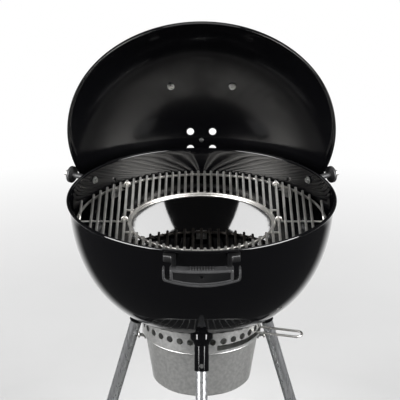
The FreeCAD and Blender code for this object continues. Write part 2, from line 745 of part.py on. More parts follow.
def make_grate_frame():
    """Fixed middle of the hinged grate, with a hinge rod down either side."""
    shapes = grate_bars(-10.5, 10.5, True)
    hinge_end = math.sqrt(N["grate_radius"] ** 2 - HINGE_X ** 2)
    for side in (-1, 1):
        x = side * HINGE_X
        shapes.append(rod(Vector(x, -hinge_end, GRATE_Z), Vector(x, hinge_end, GRATE_Z), N["grate_rod"]))
    corner = math.degrees(math.asin((HINGE_X + 1.5) / N["grate_ring"]))
    for middle in (90, 270):
        shapes.append(hoop(N["grate_ring"], 3, RING_Z, middle - corner, 2 * corner))
    shapes.append(hoop(N["insert_ring"], 2.8, RING_Z))
    shapes.append(hoop(N["insert_ring"] - 3, 2.8, RING_Z - 3.8))
    for side in (-1, 1):
        for cross in (-1, 1):
            y = cross * 60.0
            inner = math.sqrt(N["insert_ring"] ** 2 - y ** 2)
            shapes.append(rod(Vector(side * inner, y, RING_Z), Vector(side * (HINGE_X + 1), y, RING_Z), 2.4))
    keep_shape(fused(shapes), "cooking_grate_frame")


def make_flap(side, name):
    """Outer leaf of the grate, hinged on the frame's rod, with a wire lifting handle."""
    shapes = grate_bars(12.5, 16.5, False)
    ring_start = math.degrees(math.acos((HINGE_X + 8.5) / N["grate_ring"]))
    shapes.append(hoop(N["grate_ring"], 3, RING_Z, -ring_start, 2 * ring_start))
    knuckle = N["grate_rod"] + 0.07 + KNUCKLE_WIRE
    for y in (-KNUCKLE_Y, 0, KNUCKLE_Y):
        outer = math.sqrt(N["grate_ring"] ** 2 - y ** 2)
        shapes.append(Part.makeTorus(knuckle, KNUCKLE_WIRE, Vector(HINGE_X, y, GRATE_Z), Vector(0, 1, 0)))
        tail_z = GRATE_Z - knuckle - 0.3
        shapes.append(rod(Vector(HINGE_X - 1.5, y, tail_z), Vector(outer, y, tail_z), KNUCKLE_WIRE - 0.3))
    grip_y = 46.0
    foot_x = math.sqrt(N["grate_ring"] ** 2 - grip_y ** 2)
    shapes.append(bent_rod([
        Vector(foot_x, -grip_y, RING_Z), Vector(foot_x - 5, -grip_y, GRATE_Z + 26),
        Vector(foot_x - 5, grip_y, GRATE_Z + 26), Vector(foot_x, grip_y, RING_Z),
    ], 2.4, 10))
    shape = fused(shapes)
    clear = rod(Vector(HINGE_X, -230, GRATE_Z), Vector(HINGE_X, 230, GRATE_Z), N["grate_rod"] + 0.06)
    shape = shape.cut(clear)
    if side < 0:
        shape = Part.makeCompound([shape.rotated(Vector(), UP, 180)])
    keep_shape(shape, name)


def make_grate_tabs():
    """Four steel tabs in the bowl that carry the cooking grate."""
    tabs = []
    top = RING_Z - 3.1
    wall = bowl_inner_radius(top)
    for angle in (45, 135, 225, 315):
        shelf = Part.makeBox(22, 24, 2, Vector(wall - 22, -12, top - 2))
        foot = Part.makeBox(3, 24, 22, Vector(wall - 4.5, -12, top - 22))
        tabs.append(shelf.fuse(foot).removeSplitter())
        tabs[-1].rotate(Vector(), UP, angle)
    keep_inside_bowl(tabs, "cooking_grate_tabs")


def make_coal_tabs():
    """Three longer steel tabs that carry the charcoal grate."""
    tabs = []
    top = -N["coal_drop"] - 2 * N["coal_rod"] - 3.1
    wall = bowl_inner_radius(top)
    for angle in (90, 210, 330):
        shelf = Part.makeBox(34, 24, 2, Vector(wall - 34, -12, top - 2))
        foot = Part.makeBox(3, 24, 16, Vector(wall - 14, -12, top - 16))
        tabs.append(shelf.fuse(foot).removeSplitter())
        tabs[-1].rotate(Vector(), UP, angle)
    keep_inside_bowl(tabs, "charcoal_grate_tabs")


def keep_inside_bowl(pieces, name):
    """Trim pieces to the inside of the bowl's wall and keep them as one node."""
    inside = bowl_envelope(-N["wall"] - 0.05)
    keep_shape(Part.makeCompound([piece.common(inside) for piece in pieces]), name)


def make_coal_grate():
    """Flat grate of thick bars on two crossing rods and a ring."""
    z = -N["coal_drop"]
    shapes = []
    reach = int(N["coal_radius"] / N["coal_pitch"])
    for step in range(-reach, reach + 1):
        x = step * N["coal_pitch"]
        half = math.sqrt(N["coal_radius"] ** 2 - x ** 2)
        if half > 20:
            shapes.append(rod(Vector(x, -half, z), Vector(x, half, z), N["coal_rod"]))
    under = z - 2 * N["coal_rod"] + 0.8
    ring = N["coal_radius"] - 5
    for y in (-109.0, 109.0):
        half = math.sqrt(ring ** 2 - y ** 2)
        shapes.append(rod(Vector(-half, y, under), Vector(half, y, under), N["coal_rod"] - 0.3))
    shapes.append(hoop(ring, N["coal_rod"], under))
    keep_shape(fused(shapes), "charcoal_grate")


# ---------------------------------------------------------------- draught band, ash sweeper and bucket

SLOT_FIRST = -75
SLOT_SWEEP = 70


def make_band():
    """Perforated ring under the bowl, slotted for the sweeper's lever."""
    outside = S["band_radius"]
    inside = outside - S["band_sheet"]
    bottom = -S["band_bottom"]
    body = lathe("band_turned", [
        (inside, bottom + 1.2), (inside - 5, bottom + 1.2), (inside - 5, bottom), (outside, bottom),
        (outside, -252), (inside, -252),
    ], keep_it=False)
    holes = new_sketch(body, "band_hole_outline")
    draw_circle(holes, S["band_hole_radius"], 0, -S["band_hole_drop"])
    doc.recompute()
    opening = body.newObject("PartDesign::Pocket", "band_hole")
    opening.Profile = holes
    opening.Type = 1
    opening.Midplane = True
    ring = body.newObject("PartDesign::PolarPattern", "band_holes")
    ring.Originals = [opening]
    ring.Axis = (plane_of(body, "Z_Axis"), [""])
    ring.Angle = 180
    ring.Occurrences = 18
    body.Tip = ring
    slot = cylinder("lever_slot", outside + 5, 12, Placement(
        Vector(0, 0, -N["lever_drop"] - 6), Rotation(UP, SLOT_FIRST)))
    slot.Angle = SLOT_SWEEP
    core = cylinder("slot_core", inside - 8, 20, Placement(Vector(0, 0, -N["lever_drop"] - 10), Rotation()))
    sector = doc.addObject("Part::Cut", "slot_sector")
    sector.Base = slot
    sector.Tool = core
    bowl = doc.addObject("Part::Feature", "bowl_seat")
    bowl.Shape = bowl_envelope(0.05)
    return cut_away("draught_band", body, [sector, bowl])


def make_sweeper():
    """Shaft and hub through the bowl's floor with three curved blades."""
    floor = -N["bowl_depth"] + N["wall"]
    top = floor + 9
    bottom = -N["lever_drop"] - 8
    hub = [
        Part.makeCylinder(N["shaft_radius"], top - bottom, Vector(0, 0, bottom)),
        Part.makeCylinder(17, 4, Vector(0, 0, floor + 1.2)),
        Part.makeCylinder(13, 15, Vector(0, 0, bottom)),
    ]
    keep_shape(fused(hub), "sweeper_shaft")
    under = [blade_point(radius, 0.7) for radius in (16, 50, 85, 116)]
    over = [blade_point(radius, 2.1) for radius in (116, 85, 50, 16)]
    face = Part.Face(Part.makePolygon(under + over + under[:1]))
    blades = []
    for index in range(3):
        blade = face.revolve(Vector(), UP, 36)
        blade.rotate(Vector(), UP, N["lever_angle"] - 18 + 120 * index)
        blades.append(blade)
    collar = Part.makeCylinder(20, 2.2, Vector(0, 0, floor + 1.9)).cut(
        Part.makeCylinder(17.02, 10, Vector(0, 0, floor)))
    shaft_way = Part.makeCylinder(17.02, 20, Vector(0, 0, floor - 5))
    keep_shape(fused(blades + [collar]).cut(shaft_way), "sweeper_blades")


def blade_point(radius, lift):
    """Point above the bowl's floor, for the blades' section."""
    power = N["bowl_fullness"]
    inside_depth = N["bowl_depth"] - N["wall"]
    inside_radius = N["bowl_radius"] - N["wall"]
    height = -inside_depth * math.sqrt(1 - (radius / inside_radius) ** power)
    return Vector(radius, 0, height + lift)


def make_lever():
    """Loop of thick wire from the shaft's hub out through the band's slot."""
    z = -N["lever_drop"]
    half = 14.0
    tip = N["lever_reach"] - N["lever_rod"]
    wire = bent_rod([Vector(9, half * 0.55, z), Vector(60, half, z), Vector(tip, half, z),
                     Vector(tip, -half, z), Vector(60, -half, z), Vector(9, -half * 0.55, z)],
                    N["lever_rod"], 13.2)
    wire.rotate(Vector(), UP, N["lever_angle"])
    hub = Part.makeCylinder(13.04, 30, Vector(0, 0, z - 15))
    keep_shape(wire.cut(hub), "sweeper_lever")


STUD_DROP = 14.0


def make_bucket():
    """Tapered ash bucket with a rolled rim."""
    mouth = S["bucket_mouth"]
    foot = S["bucket_foot"]
    sheet_metal = S["band_sheet"]
    top = -S["bucket_top"]
    bottom = top - S["bucket_depth"]
    body = lathe("bucket_turned", [
        (0, bottom), (foot - 6, bottom), (foot, bottom + 6), (mouth, top),
        (mouth - sheet_metal, top), (foot - sheet_metal, bottom + 6.5),
        (foot - 6.5, bottom + sheet_metal), (0, bottom + sheet_metal),
    ], keep_it=False)
    roll = new_sketch(body, "bucket_roll_outline")
    draw_circle(roll, 2.4, mouth + 1, top - 1)
    spin(body, roll, "bucket_roll")
    keep(body, "ash_bucket")
    studs = []
    for side in (-1, 1):
        direction = Vector(side, 0, 0)
        inner = N["bucket_mouth"] - 2.1
        base = Vector(side * inner, 0, top.number - STUD_DROP)
        tip = N["bail_radius"] + 4 - inner
        stud = Part.makeCylinder(3, tip, base, direction)
        plate = Part.makeCylinder(9, 3.4, base, direction)
        plate = plate.common(bucket_outside(0.05, top.number, bottom.number))
        head = Part.makeCylinder(5.5, 2, base + direction * tip, direction)
        studs.append(fused([plate, stud.common(bucket_outside(0.05, top.number, bottom.number)), head]))
    keep_shape(Part.makeCompound(studs), "bail_studs")


def bucket_outside(gap, top, bottom):
    """Everything round the bucket's side, clear of its wall."""
    foot = N["bucket_foot"] + gap
    mouth = N["bucket_mouth"] + gap
    side = Part.makeCone(foot, mouth, top - bottom - 6, Vector(0, 0, bottom + 6))
    return Part.makeCylinder(160, top - bottom - 6, Vector(0, 0, bottom + 6)).cut(side)


BAIL_REST = 30


def make_bail():
    """Wire bail that hangs round the back of the bucket."""
    radius = N["bail_radius"]
    wire = 2.0
    eye = 3.0 + 0.08 + wire
    arc = Part.makeTorus(radius, wire, Vector(), UP, 0, 360, 180 - 4.2)
    arc.rotate(Vector(), UP, 2.1)
    shapes = [arc]
    for side in (-1, 1):
        shapes.append(Part.makeTorus(eye, wire, Vector(side * radius, 0, 0), Vector(1, 0, 0)))
    shape = fused(shapes)
    clear = rod(Vector(-160, 0, 0), Vector(160, 0, 0), 3.07)
    shape = shape.cut(clear)
    hang = Placement(Vector(0, 0, -N["bucket_top"] - STUD_DROP), Rotation(Vector(1, 0, 0), -BAIL_REST))
    keep_shape(shape, "bucket_bail", hang)


# ---------------------------------------------------------------- legs

def leg_frame(angle):
    """Frame of a leg: origin on its axis at leg_level, Z up the leg."""
    tilt = Placement(Vector(), Rotation(Vector(0, 1, 0), -N["leg_splay"]))
    return around(angle).multiply(Placement(Vector(N["leg_orbit"], 0, -N["leg_level"]), Rotation())).multiply(tilt)


def along_leg(drop):
    """Distance down the leg's axis at which it is a given drop below the rim."""
    return (N["leg_level"] - drop) / math.cos(math.radians(N["leg_splay"]))


LEG_TOP = 12.0
LEGS = [("front", -90), ("right", 30), ("left", 150)]
AXLE_DROP = N["rim_height"] - N["wheel_radius"]
AXLE_Y = (N["leg_orbit"] - along_leg(AXLE_DROP) * math.sin(math.radians(N["leg_splay"]))) / 2


def make_leg(name, angle, bottom, drilled):
    """Straight aluminium tube; the rear ones are drilled for the axle."""
    frame = leg_frame(angle)
    body = lathe("leg_%s_tube" % name, [
        (S["leg_radius"] - S["leg_sheet"], bottom), (S["leg_radius"], bottom),
        (S["leg_radius"], LEG_TOP), (S["leg_radius"] - S["leg_sheet"], LEG_TOP),
    ], keep_it=False)
    if not drilled:
        return keep(body, "leg_" + name, frame)
    body.Placement = frame
    start = Placement(Vector(-400, AXLE_Y, -AXLE_DROP), Rotation(UP, Vector(1, 0, 0)))
    way = cylinder("axle_way_" + name, S["axle_radius"] + 0.05, 800, start)
    return cut_away("leg_" + name, body, [way])


def make_socket(name, angle):
    """Enamelled socket with a flared foot, welded under the bowl."""
    bore = S["leg_radius"] + 0.05
    body = lathe("socket_%s_turned" % name, [
        (bore, -48), (S["socket_radius"], -48), (S["socket_radius"], 6), (S["socket_radius"] + 9, 22),
        (S["socket_radius"] + 9, 60), (bore, 60),
    ], keep_it=False)
    body.Placement = leg_frame(angle)
    bowl = doc.addObject("Part::Feature", "bowl_over_" + name)
    bowl.Shape = bowl_envelope(0.05)
    band = cylinder("band_room_" + name, S["band_radius"] + 0.6, 120, Placement(Vector(0, 0, -340), Rotation()))
    return cut_away("leg_socket_" + name, body, [bowl, band])


def make_leg_screws():
    """One screw through each socket into its leg."""
    screws = []
    for name, angle in LEGS:
        frame = leg_frame(angle)
        seat = frame.multVec(Vector(N["socket_radius"] + 0.2, 0, -36))
        outward = frame.Rotation.multVec(Vector(1, 0, 0))
        head = Part.makeCylinder(4.5, 2.6, seat, outward)
        screws.append(head)
    keep_shape(Part.makeCompound(screws), "leg_screws")


def make_foot():
    """Moulded cap on the front leg, cut flat where it stands on the floor."""
    frame = leg_frame(-90)
    floor = along_leg(N["rim_height"])
    end = floor + 9.5
    body = lathe("foot_turned", [
        (0, floor - 12), (18, floor - 12), (16.5, end + 34), (S["leg_radius"] + 0.05, end + 34),
        (S["leg_radius"] + 0.05, end), (0, end),
    ], keep_it=False)
    body.Placement = frame
    ground = doc.addObject("Part::Box", "ground")
    for side, length in (("Length", 800), ("Width", 800), ("Height", 60)):
        bind(ground, side, length)
    ground.Placement = Placement(Vector(-400, -600, -N["rim_height"] - 60), Rotation())
    cut_away("front_foot", body, [ground])
    return end


# ---------------------------------------------------------------- wheels

def wheel_frame(side):
    """Frame of a wheel: Z along the axle, away from the legs."""
    spot = Vector(side * N["wheel_middle"], AXLE_Y, -AXLE_DROP)
    return Placement(spot, Rotation(UP, Vector(side, 0, 0)))


def make_wheel(side, name):
    """Moulded wheel in two pieces: a spoked hub and a ribbed tyre."""
    half = S["wheel_half_width"]
    bore = S["axle_radius"] + 0.06
    body = lathe("hub_%s_turned" % name, [
        (bore, -half), (15, -half), (15, -4), (66, -4), (66, -half + 1), (73, -half + 1),
        (73, half - 1), (66, half - 1), (66, 3), (15, 3), (15, half), (bore, half),
    ], keep_it=False)
    window = new_sketch(body, "window_%s_outline" % name, "XY_Plane")
    inner = 22.0
    outer = 60.0
    draw_outline(window, [(inner, -5), (outer, -17), (outer, 17), (inner, 5)])
    doc.recompute()
    opening = body.newObject("PartDesign::Pocket", "window_" + name)
    opening.Profile = window
    opening.Type = 1
    opening.Midplane = True
    ring = body.newObject("PartDesign::PolarPattern", "windows_" + name)
    ring.Originals = [opening]
    ring.Axis = (plane_of(body, "Z_Axis"), [""])
    ring.Angle = 360
    ring.Occurrences = 7
    body.Tip = ring
    keep(body, "wheel_hub_" + name, wheel_frame(side))
    tread = S["wheel_radius"]
    lathe("wheel_tyre_" + name, [
        (73.05, -half + 2), (tread - 8, -half + 2), (tread, -half + 9), (tread, half - 9),
        (tread - 8, half - 2), (73.05, half - 2),
    ], wheel_frame(side))


def make_axle():
    """Steel axle through both rear legs, and the caps that keep the wheels on."""
    half = N["wheel_middle"] + N["wheel_half_width"] + 9
    start = Placement(Vector(-half, AXLE_Y, -AXLE_DROP), Rotation(UP, Vector(1, 0, 0)))
    keep(cylinder("axle", S["axle_radius"], 2 * half, start), "axle", start)
    for side, name in ((-1, "left"), (1, "right")):
        face = S["wheel_half_width"] + 0.5
        lathe("wheel_cap_" + name, [
            (S["axle_radius"] + 0.03, face), (14, face), (14, face + 5), (9, face + 11), (0, face + 12),
            (0, face + 8.8), (S["axle_radius"] + 0.03, face + 8.8),
        ], wheel_frame(side))


# ---------------------------------------------------------------- bottom rack

def make_rack():
    """Round wire rack between the legs."""
    z = -N["rack_drop"]
    shapes = [hoop(N["rack_ring"], N["rack_rod"], z)]
    rise = N["rack_rod"] + 1.6
    for step in range(-6, 7):
        x = step * 32.0
        half = math.sqrt(N["rack_ring"] ** 2 - x ** 2)
        shapes.append(rod(Vector(x, -half, z + rise), Vector(x, half, z + rise), 2.5))
    shapes.append(rod(Vector(-N["rack_ring"], 0, z), Vector(N["rack_ring"], 0, z), N["rack_rod"]))
    keep_shape(fused(shapes), "bottom_rack")


def make_rack_clips():
    """Three clamps that hold the rack's ring to the legs."""
    clips = []
    for name, angle in LEGS:
        frame = leg_frame(angle)
        middle = along_leg(N["rack_drop"])
        base = frame.multVec(Vector(0, 0, middle - 9))
        up = frame.Rotation.multVec(UP)
        collar = Part.makeCylinder(N["leg_radius"] + 2.4, 18, base, up)
        arm = Part.makeBox(34, 12, 13, Vector(-34, -6, middle - 6.5))
        arm.Placement = frame
        clip = collar.fuse(arm).removeSplitter()
        clip = clip.cut(Part.makeCylinder(N["leg_radius"] + 0.05, 60, frame.multVec(Vector(0, 0, middle - 30)), up))
        clip = clip.cut(Part.makeTorus(N["rack_ring"], N["rack_rod"] + 0.05, Vector(0, 0, -N["rack_drop"]), UP))
        clip = clip.cut(Part.makeCylinder(N["rack_ring"], 60, Vector(0, 0, -N["rack_drop"] - 30)))
        clips.append(clip)
    keep_shape(Part.makeCompound(clips), "rack_clips")


# ---------------------------------------------------------------- build

make_bowl()
make_bowl_handle()
make_handle_bolts()
make_lid()
make_damper()
make_rivet()
make_lid_handle()
make_heat_shield()
make_lid_bolts()
for side, name in ((-1, "left"), (1, "right")):
    make_spool(side, "spool_" + name)
    make_spool_bolt(side, "spool_bolt_" + name)
make_lid_hoop()
make_grate_frame()
make_flap(-1, "grate_flap_left")
make_flap(1, "grate_flap_right")
make_grate_tabs()
make_coal_grate()
make_coal_tabs()
make_band()
make_sweeper()
make_lever()
make_bucket()
make_bail()
front_end = make_foot()
for name, angle in LEGS:
    make_socket(name, angle)
    rear_end = along_leg(AXLE_DROP + 24)
    make_leg(name, angle, front_end + 0.5 if name == "front" else rear_end, name != "front")
make_leg_screws()
make_wheel(-1, "left")
make_wheel(1, "right")
make_axle()
make_rack()
make_rack_clips()

doc.recompute()
for thing in doc.Objects:
    if "Invalid" in thing.State or "Error" in thing.State:
        raise RuntimeError("%s failed: %s" % (thing.Name, thing.State))
for node in nodes:
    if node.Shape.isNull() or not node.Shape.isValid():
        raise RuntimeError("%s has no valid shape" % node.Label)

os.makedirs("parts", exist_ok=True)
outline = FreeCAD.BoundBox()
for node in nodes:
    node.Shape.exportStep(os.path.join("parts", node.Label + ".step"))
    outline.add(node.Shape.BoundBox)
    print("%-24s solids %d  volume %.1f cm3" % (node.Label, len(node.Shape.Solids), node.Shape.Volume / 1000))
print("outline", outline)
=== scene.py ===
import math

import bpy
from bpy.props import FloatProperty, FloatVectorProperty, IntProperty, PointerProperty
from mathutils import Matrix, Vector


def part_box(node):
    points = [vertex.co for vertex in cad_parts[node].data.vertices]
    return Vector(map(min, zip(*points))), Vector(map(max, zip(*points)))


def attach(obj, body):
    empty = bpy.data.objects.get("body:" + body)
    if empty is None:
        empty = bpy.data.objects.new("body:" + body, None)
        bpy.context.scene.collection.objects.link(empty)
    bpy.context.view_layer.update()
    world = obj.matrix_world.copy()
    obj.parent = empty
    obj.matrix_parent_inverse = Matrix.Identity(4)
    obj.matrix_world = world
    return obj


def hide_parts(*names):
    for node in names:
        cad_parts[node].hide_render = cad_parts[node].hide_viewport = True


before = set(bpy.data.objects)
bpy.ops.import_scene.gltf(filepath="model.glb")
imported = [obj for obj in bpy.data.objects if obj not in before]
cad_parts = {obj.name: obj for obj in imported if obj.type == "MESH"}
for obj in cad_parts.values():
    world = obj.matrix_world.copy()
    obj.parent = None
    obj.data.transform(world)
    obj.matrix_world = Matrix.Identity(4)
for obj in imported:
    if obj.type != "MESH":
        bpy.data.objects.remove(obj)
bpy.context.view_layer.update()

bl_info = {
    "name": "Kettle charcoal grill",
    "version": (1, 0, 0),
    "blender": (4, 5, 0),
    "location": "View3D > Sidebar > Grill",
    "description": "Finishes the kettle grill: enamel shells, moulded grips, wheels, metals and the studio",
    "category": "Object",
}

MM = 0.001
MERGE = 0.02 * MM        # vertices nearer than this are one
SHELL_STEPS = 192        # faces round the bowl and the lid
GRIP_STEPS = 16          # edges along each long side of the front grip
CLOUD_SPAN = (0.3, 0.7)  # noise values where a drifting tone reaches its ends
WHITE = (1.0, 1.0, 1.0, 1.0)


# ---------------------------------------------------------------- places taken from the CAD parts

BOWL_LOW, BOWL_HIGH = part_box("bowl_shell")
BEAD_RADIUS = 3.4 * MM
RIM_RADIUS = (BOWL_HIGH.x - BOWL_LOW.x) / 2
RIM_CENTRE = (BOWL_LOW + BOWL_HIGH) / 2
RIM_CENTRE.z = BOWL_HIGH.z - BEAD_RADIUS
GRIP_LOW, GRIP_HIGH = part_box("bowl_handle")


# ---------------------------------------------------------------- small tools

def deselect_everything():
    """Leave edit mode and select nothing."""
    if bpy.context.mode != "OBJECT":
        bpy.ops.object.mode_set(mode="OBJECT")
    bpy.ops.object.select_all(action="DESELECT")


def linear(hex_colour):
    """Linear colour with alpha from an sRGB hex value."""
    parts = [int(hex_colour[start:start + 2], 16) / 255 for start in (1, 3, 5)]
    shades = [part / 12.92 if part <= 0.04045 else ((part + 0.055) / 1.055) ** 2.4 for part in parts]
    return (*shades, 1.0)


def add_node(tree, kind, settings=None, links=None):
    """Add a node, set its properties and sockets, and link its inputs."""
    node = tree.nodes.new(kind)
    for name, value in (settings or {}).items():
        if hasattr(node, name):
            setattr(node, name, value)
        else:
            node.inputs[name].default_value = value
    for name, source in (links or {}).items():
        tree.links.new(source, node.inputs[name])
    return node


def per_metre(size_mm):
    """Noise scale whose pattern repeats about every so many millimetres."""
    return 1000 / size_mm


# ---------------------------------------------------------------- settings

def length(name, description, metres):
    """Length setting in metres."""
    return FloatProperty(name=name, description=description, default=metres, unit="LENGTH")


def number(name, description, value):
    """Setting without a unit, or in the unit that its description gives."""
    return FloatProperty(name=name, description=description, default=value)


def colour(name, description, hex_colour):
    """Colour setting with its default as an sRGB hex value."""
    return FloatVectorProperty(name=name, description=description, default=linear(hex_colour), size=4,
                               subtype="COLOR", min=0.0, max=1.0)


# ---------------------------------------------------------------- finishes

def new_finish(name, colour, metallic, roughness):
    """Material with a Principled shader; returns it with its tree, shader and coordinates."""
    material = bpy.data.materials.new(name)
    material.use_nodes = True
    tree = material.node_tree
    shader = tree.nodes["Principled BSDF"]
    shader.inputs["Base Color"].default_value = colour
    shader.inputs["Metallic"].default_value = metallic
    shader.inputs["Roughness"].default_value = roughness
    place = add_node(tree, "ShaderNodeTexCoord")
    return material, tree, shader, place.outputs["Object"]


def clouds(tree, place, size_mm, detail):
    """Soft noise of a real size; most of it lies between the two ends of CLOUD_SPAN."""
    settings = {"Scale": per_metre(size_mm), "Detail": detail}
    return add_node(tree, "ShaderNodeTexNoise", settings, {"Vector": place}).outputs["Fac"]


def tint(tree, shader, place, size_mm, dark, light, detail=3.0):
    """Let the colour drift between two colours."""
    fac = clouds(tree, place, size_mm, detail)
    ramp = add_node(tree, "ShaderNodeValToRGB", {}, {"Fac": fac})
    for element, position, colour in zip(ramp.color_ramp.elements, CLOUD_SPAN, (dark, light)):
        element.position = position
        element.color = colour
    tree.links.new(ramp.outputs["Color"], shader.inputs["Base Color"])


def vary(tree, shader, place, size_mm, low, high, detail=3.0):
    """Let the roughness drift between two values."""
    fac = clouds(tree, place, size_mm, detail)
    limits = {"From Min": CLOUD_SPAN[0], "From Max": CLOUD_SPAN[1], "To Min": low, "To Max": high}
    spread = add_node(tree, "ShaderNodeMapRange", limits, {"Value": fac})
    tree.links.new(spread.outputs["Result"], shader.inputs["Roughness"])


def roughen(tree, shader, place, size_mm, height_mm, strength):
    """Bump the surface with noise of a real size and height."""
    fac = clouds(tree, place, size_mm, 2.0)
    settings = {"Strength": strength, "Distance": height_mm * MM}
    bump = add_node(tree, "ShaderNodeBump", settings, {"Height": fac})
    tree.links.new(bump.outputs["Normal"], shader.inputs["Normal"])


def porcelain_enamel(colours):
    """Black porcelain enamel fired on steel: deep gloss with a faint orange-peel ripple."""
    material, tree, shader, place = new_finish("porcelain_enamel", colours.enamel, 0.0, 0.06)
    shader.inputs["IOR"].default_value = 1.58
    vary(tree, shader, place, 60, 0.05, 0.08)
    roughen(tree, shader, place, 14, 0.012, 0.05)
    return material


def lid_inside_enamel(colours):
    """Enamel inside the lid, one thin ground coat: softer, under half as bright in reflection."""
    material, tree, shader, place = new_finish("porcelain_enamel_inside", colours.enamel_inside, 0.0, 0.13)
    shader.inputs["IOR"].default_value = 1.36
    vary(tree, shader, place, 90, 0.11, 0.15)
    return material


def moulded_nylon(colours):
    """Glass-filled black nylon, moulded: dark grey, dull, with a fine spark-eroded grain."""
    material, tree, shader, place = new_finish("moulded_nylon", colours.nylon_dark, 0.0, 0.5)
    tint(tree, shader, place, 25, colours.nylon_dark, colours.nylon_light)
    vary(tree, shader, place, 6, 0.42, 0.58)
    roughen(tree, shader, place, 0.9, 0.05, 0.5)
    return material


def panel_nylon(colours):
    """The same black nylon left smooth from the mould, coloured darker than the grained faces as painted
    shade: the shade on the grip's front face and on the arms under the rim.
    """
    material, tree, shader, place = new_finish("smooth_nylon_painted_shade", colours.nylon_painted_shade, 0.0, 0.35)
    vary(tree, shader, place, 30, 0.3, 0.42)
    return material


def nickel_wire(colours):
    """Nickel-plated steel wire, drawn: bright satin metal with faint cloudy wear."""
    material, tree, shader, place = new_finish("nickel_plated_wire", colours.nickel_dark, 1.0, 0.42)
    tint(tree, shader, place, 30, colours.nickel_dark, colours.nickel_light)
    vary(tree, shader, place, 8, 0.36, 0.48)
    return material


def aluminised_sheet(colours):
    """Aluminised steel sheet, pressed: satin grey with a soft spangle."""
    material, tree, shader, place = new_finish("aluminised_sheet", colours.sheet_dark, 0.85, 0.38)
    tint(tree, shader, place, 7, colours.sheet_dark, colours.sheet_light, 5.0)
    vary(tree, shader, place, 3, 0.3, 0.46)
    roughen(tree, shader, place, 4, 0.03, 0.4)
    return material


def anodised_tube(colours):
    """Anodised aluminium tube: pale satin metal with fine extrusion lines along it."""
    material, tree, shader, place = new_finish("anodised_aluminium", colours.tube, 0.9, 0.3)
    lines = add_node(tree, "ShaderNodeMapping", {"Scale": (1.0, 1.0, 0.03)}, {"Vector": place})
    vary(tree, shader, lines.outputs["Vector"], 2, 0.24, 0.38, 2.0)
    return material


def zinc_plating(colours):
    """Zinc-plated steel fasteners, axle and rack: grey-white metal, a little uneven."""
    material, tree, shader, place = new_finish("zinc_plating", colours.zinc, 1.0, 0.3)
    vary(tree, shader, place, 4, 0.24, 0.38)
    return material


def seasoned_steel(colours):
    """Bare hot-rolled steel bar, darkened by heat: brown-grey scale with worn patches."""
    material, tree, shader, place = new_finish("heat_darkened_steel", colours.scale_dark, 0.8, 0.5)
    tint(tree, shader, place, 14, colours.scale_dark, colours.scale_light, 5.0)
    vary(tree, shader, place, 5, 0.38, 0.62)
    roughen(tree, shader, place, 2, 0.08, 0.6)
    return material


def moulded_tyre(colours):
    """Moulded black polyethylene tyre: dull, with a fine matt grain."""
    material, tree, shader, place = new_finish("moulded_tyre", colours.tyre_dark, 0.0, 0.62)
    tint(tree, shader, place, 20, colours.tyre_dark, colours.tyre_light)
    roughen(tree, shader, place, 1.2, 0.06, 0.5)
    return material


FINISHES = {}


def finish_for(node):
    """Which finish a CAD node has."""
    enamel = ("bowl_shell", "lid_shell", "leg_socket")
    nylon = ("bowl_handle", "lid_handle", "front_foot", "spool_left", "spool_right", "wheel_hub",
             "wheel_cap")
    wire = ("cooking_grate_frame", "grate_flap", "lid_hoop", "sweeper_lever", "bucket_bail")
    sheet = ("draught_band", "ash_bucket", "sweeper_blades", "damper_disc", "handle_heat_shield",
             "cooking_grate_tabs", "charcoal_grate_tabs")
    tube = ("leg_front", "leg_left", "leg_right")
    if node == "lid_handle_bolts":
        return "zinc"
    groups = ((enamel, "enamel"), (nylon, "nylon"), (wire, "wire"), (sheet, "sheet"), (tube, "tube"),
              ("charcoal_grate", "steel"), ("wheel_tyre", "tyre"))
    for names, finish in groups:
        if node.startswith(names):
            return finish
    return "zinc"


class GRILL_OT_finishes(bpy.types.Operator):
    """Make every finish and give each CAD node its own"""

    bl_idname = "grill.finishes"
    bl_label = "Finishes"

    def execute(self, context):
        makers = {"enamel": porcelain_enamel, "enamel_inside": lid_inside_enamel, "nylon": moulded_nylon,
                  "panel": panel_nylon, "wire": nickel_wire, "sheet": aluminised_sheet, "tube": anodised_tube,
                  "zinc": zinc_plating, "steel": seasoned_steel, "tyre": moulded_tyre}
        for name, maker in makers.items():
            FINISHES[name] = maker(context.scene.grill_colours)
        for name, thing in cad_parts.items():
            thing.data.materials.clear()
            thing.data.materials.append(FINISHES[finish_for(name)])
            thing.data.shade_smooth()
        return {"FINISHED"}


class GrillColours(bpy.types.PropertyGroup):
    """Colours of the finishes"""

    enamel: colour("Enamel", "Outside of the bowl and lid", "#040405")
    enamel_inside: colour("Enamel inside", "Inside of the lid", "#050506")
    nylon_dark: colour("Nylon, dark", "Darker tone of the grained nylon", "#1f1f20")
    nylon_light: colour("Nylon, light", "Lighter tone of the grained nylon", "#2a2a2b")
    # Darker nylon colour: painted shade for the grip's front face and for the arms under the rim.
    nylon_painted_shade: colour("Smooth nylon", "Sunk panel and arms of the front grip", "#080809")
    nickel_dark: colour("Nickel, dark", "Darker tone of the grate's wire", "#c6c4c0")
    nickel_light: colour("Nickel, light", "Lighter tone of the grate's wire", "#dedcd8")
    sheet_dark: colour("Sheet, dark", "Darker tone of the band and bucket", "#a9a9a8")
    sheet_light: colour("Sheet, light", "Lighter tone of the band and bucket", "#c4c4c2")
    tube: colour("Tube", "Legs", "#b4b5b7")
    zinc: colour("Zinc", "Screws, bolts, axle and rack", "#b0b1af")
    scale_dark: colour("Scale, dark", "Darker tone of the charcoal grate", "#23211f")
    scale_light: colour("Scale, light", "Worn tone of the charcoal grate", "#4b4743")
    tyre_dark: colour("Tyre, dark", "Darker tone of the tyres", "#161617")
    tyre_light: colour("Tyre, light", "Lighter tone of the tyres", "#202021")
    floor_dark: colour("Floor, dark", "Darker tone of the studio floor", "#b1b1b1")
    floor_light: colour("Floor, light", "Lighter tone of the studio floor", "#b7b7b7")


# ---------------------------------------------------------------- modelling tools

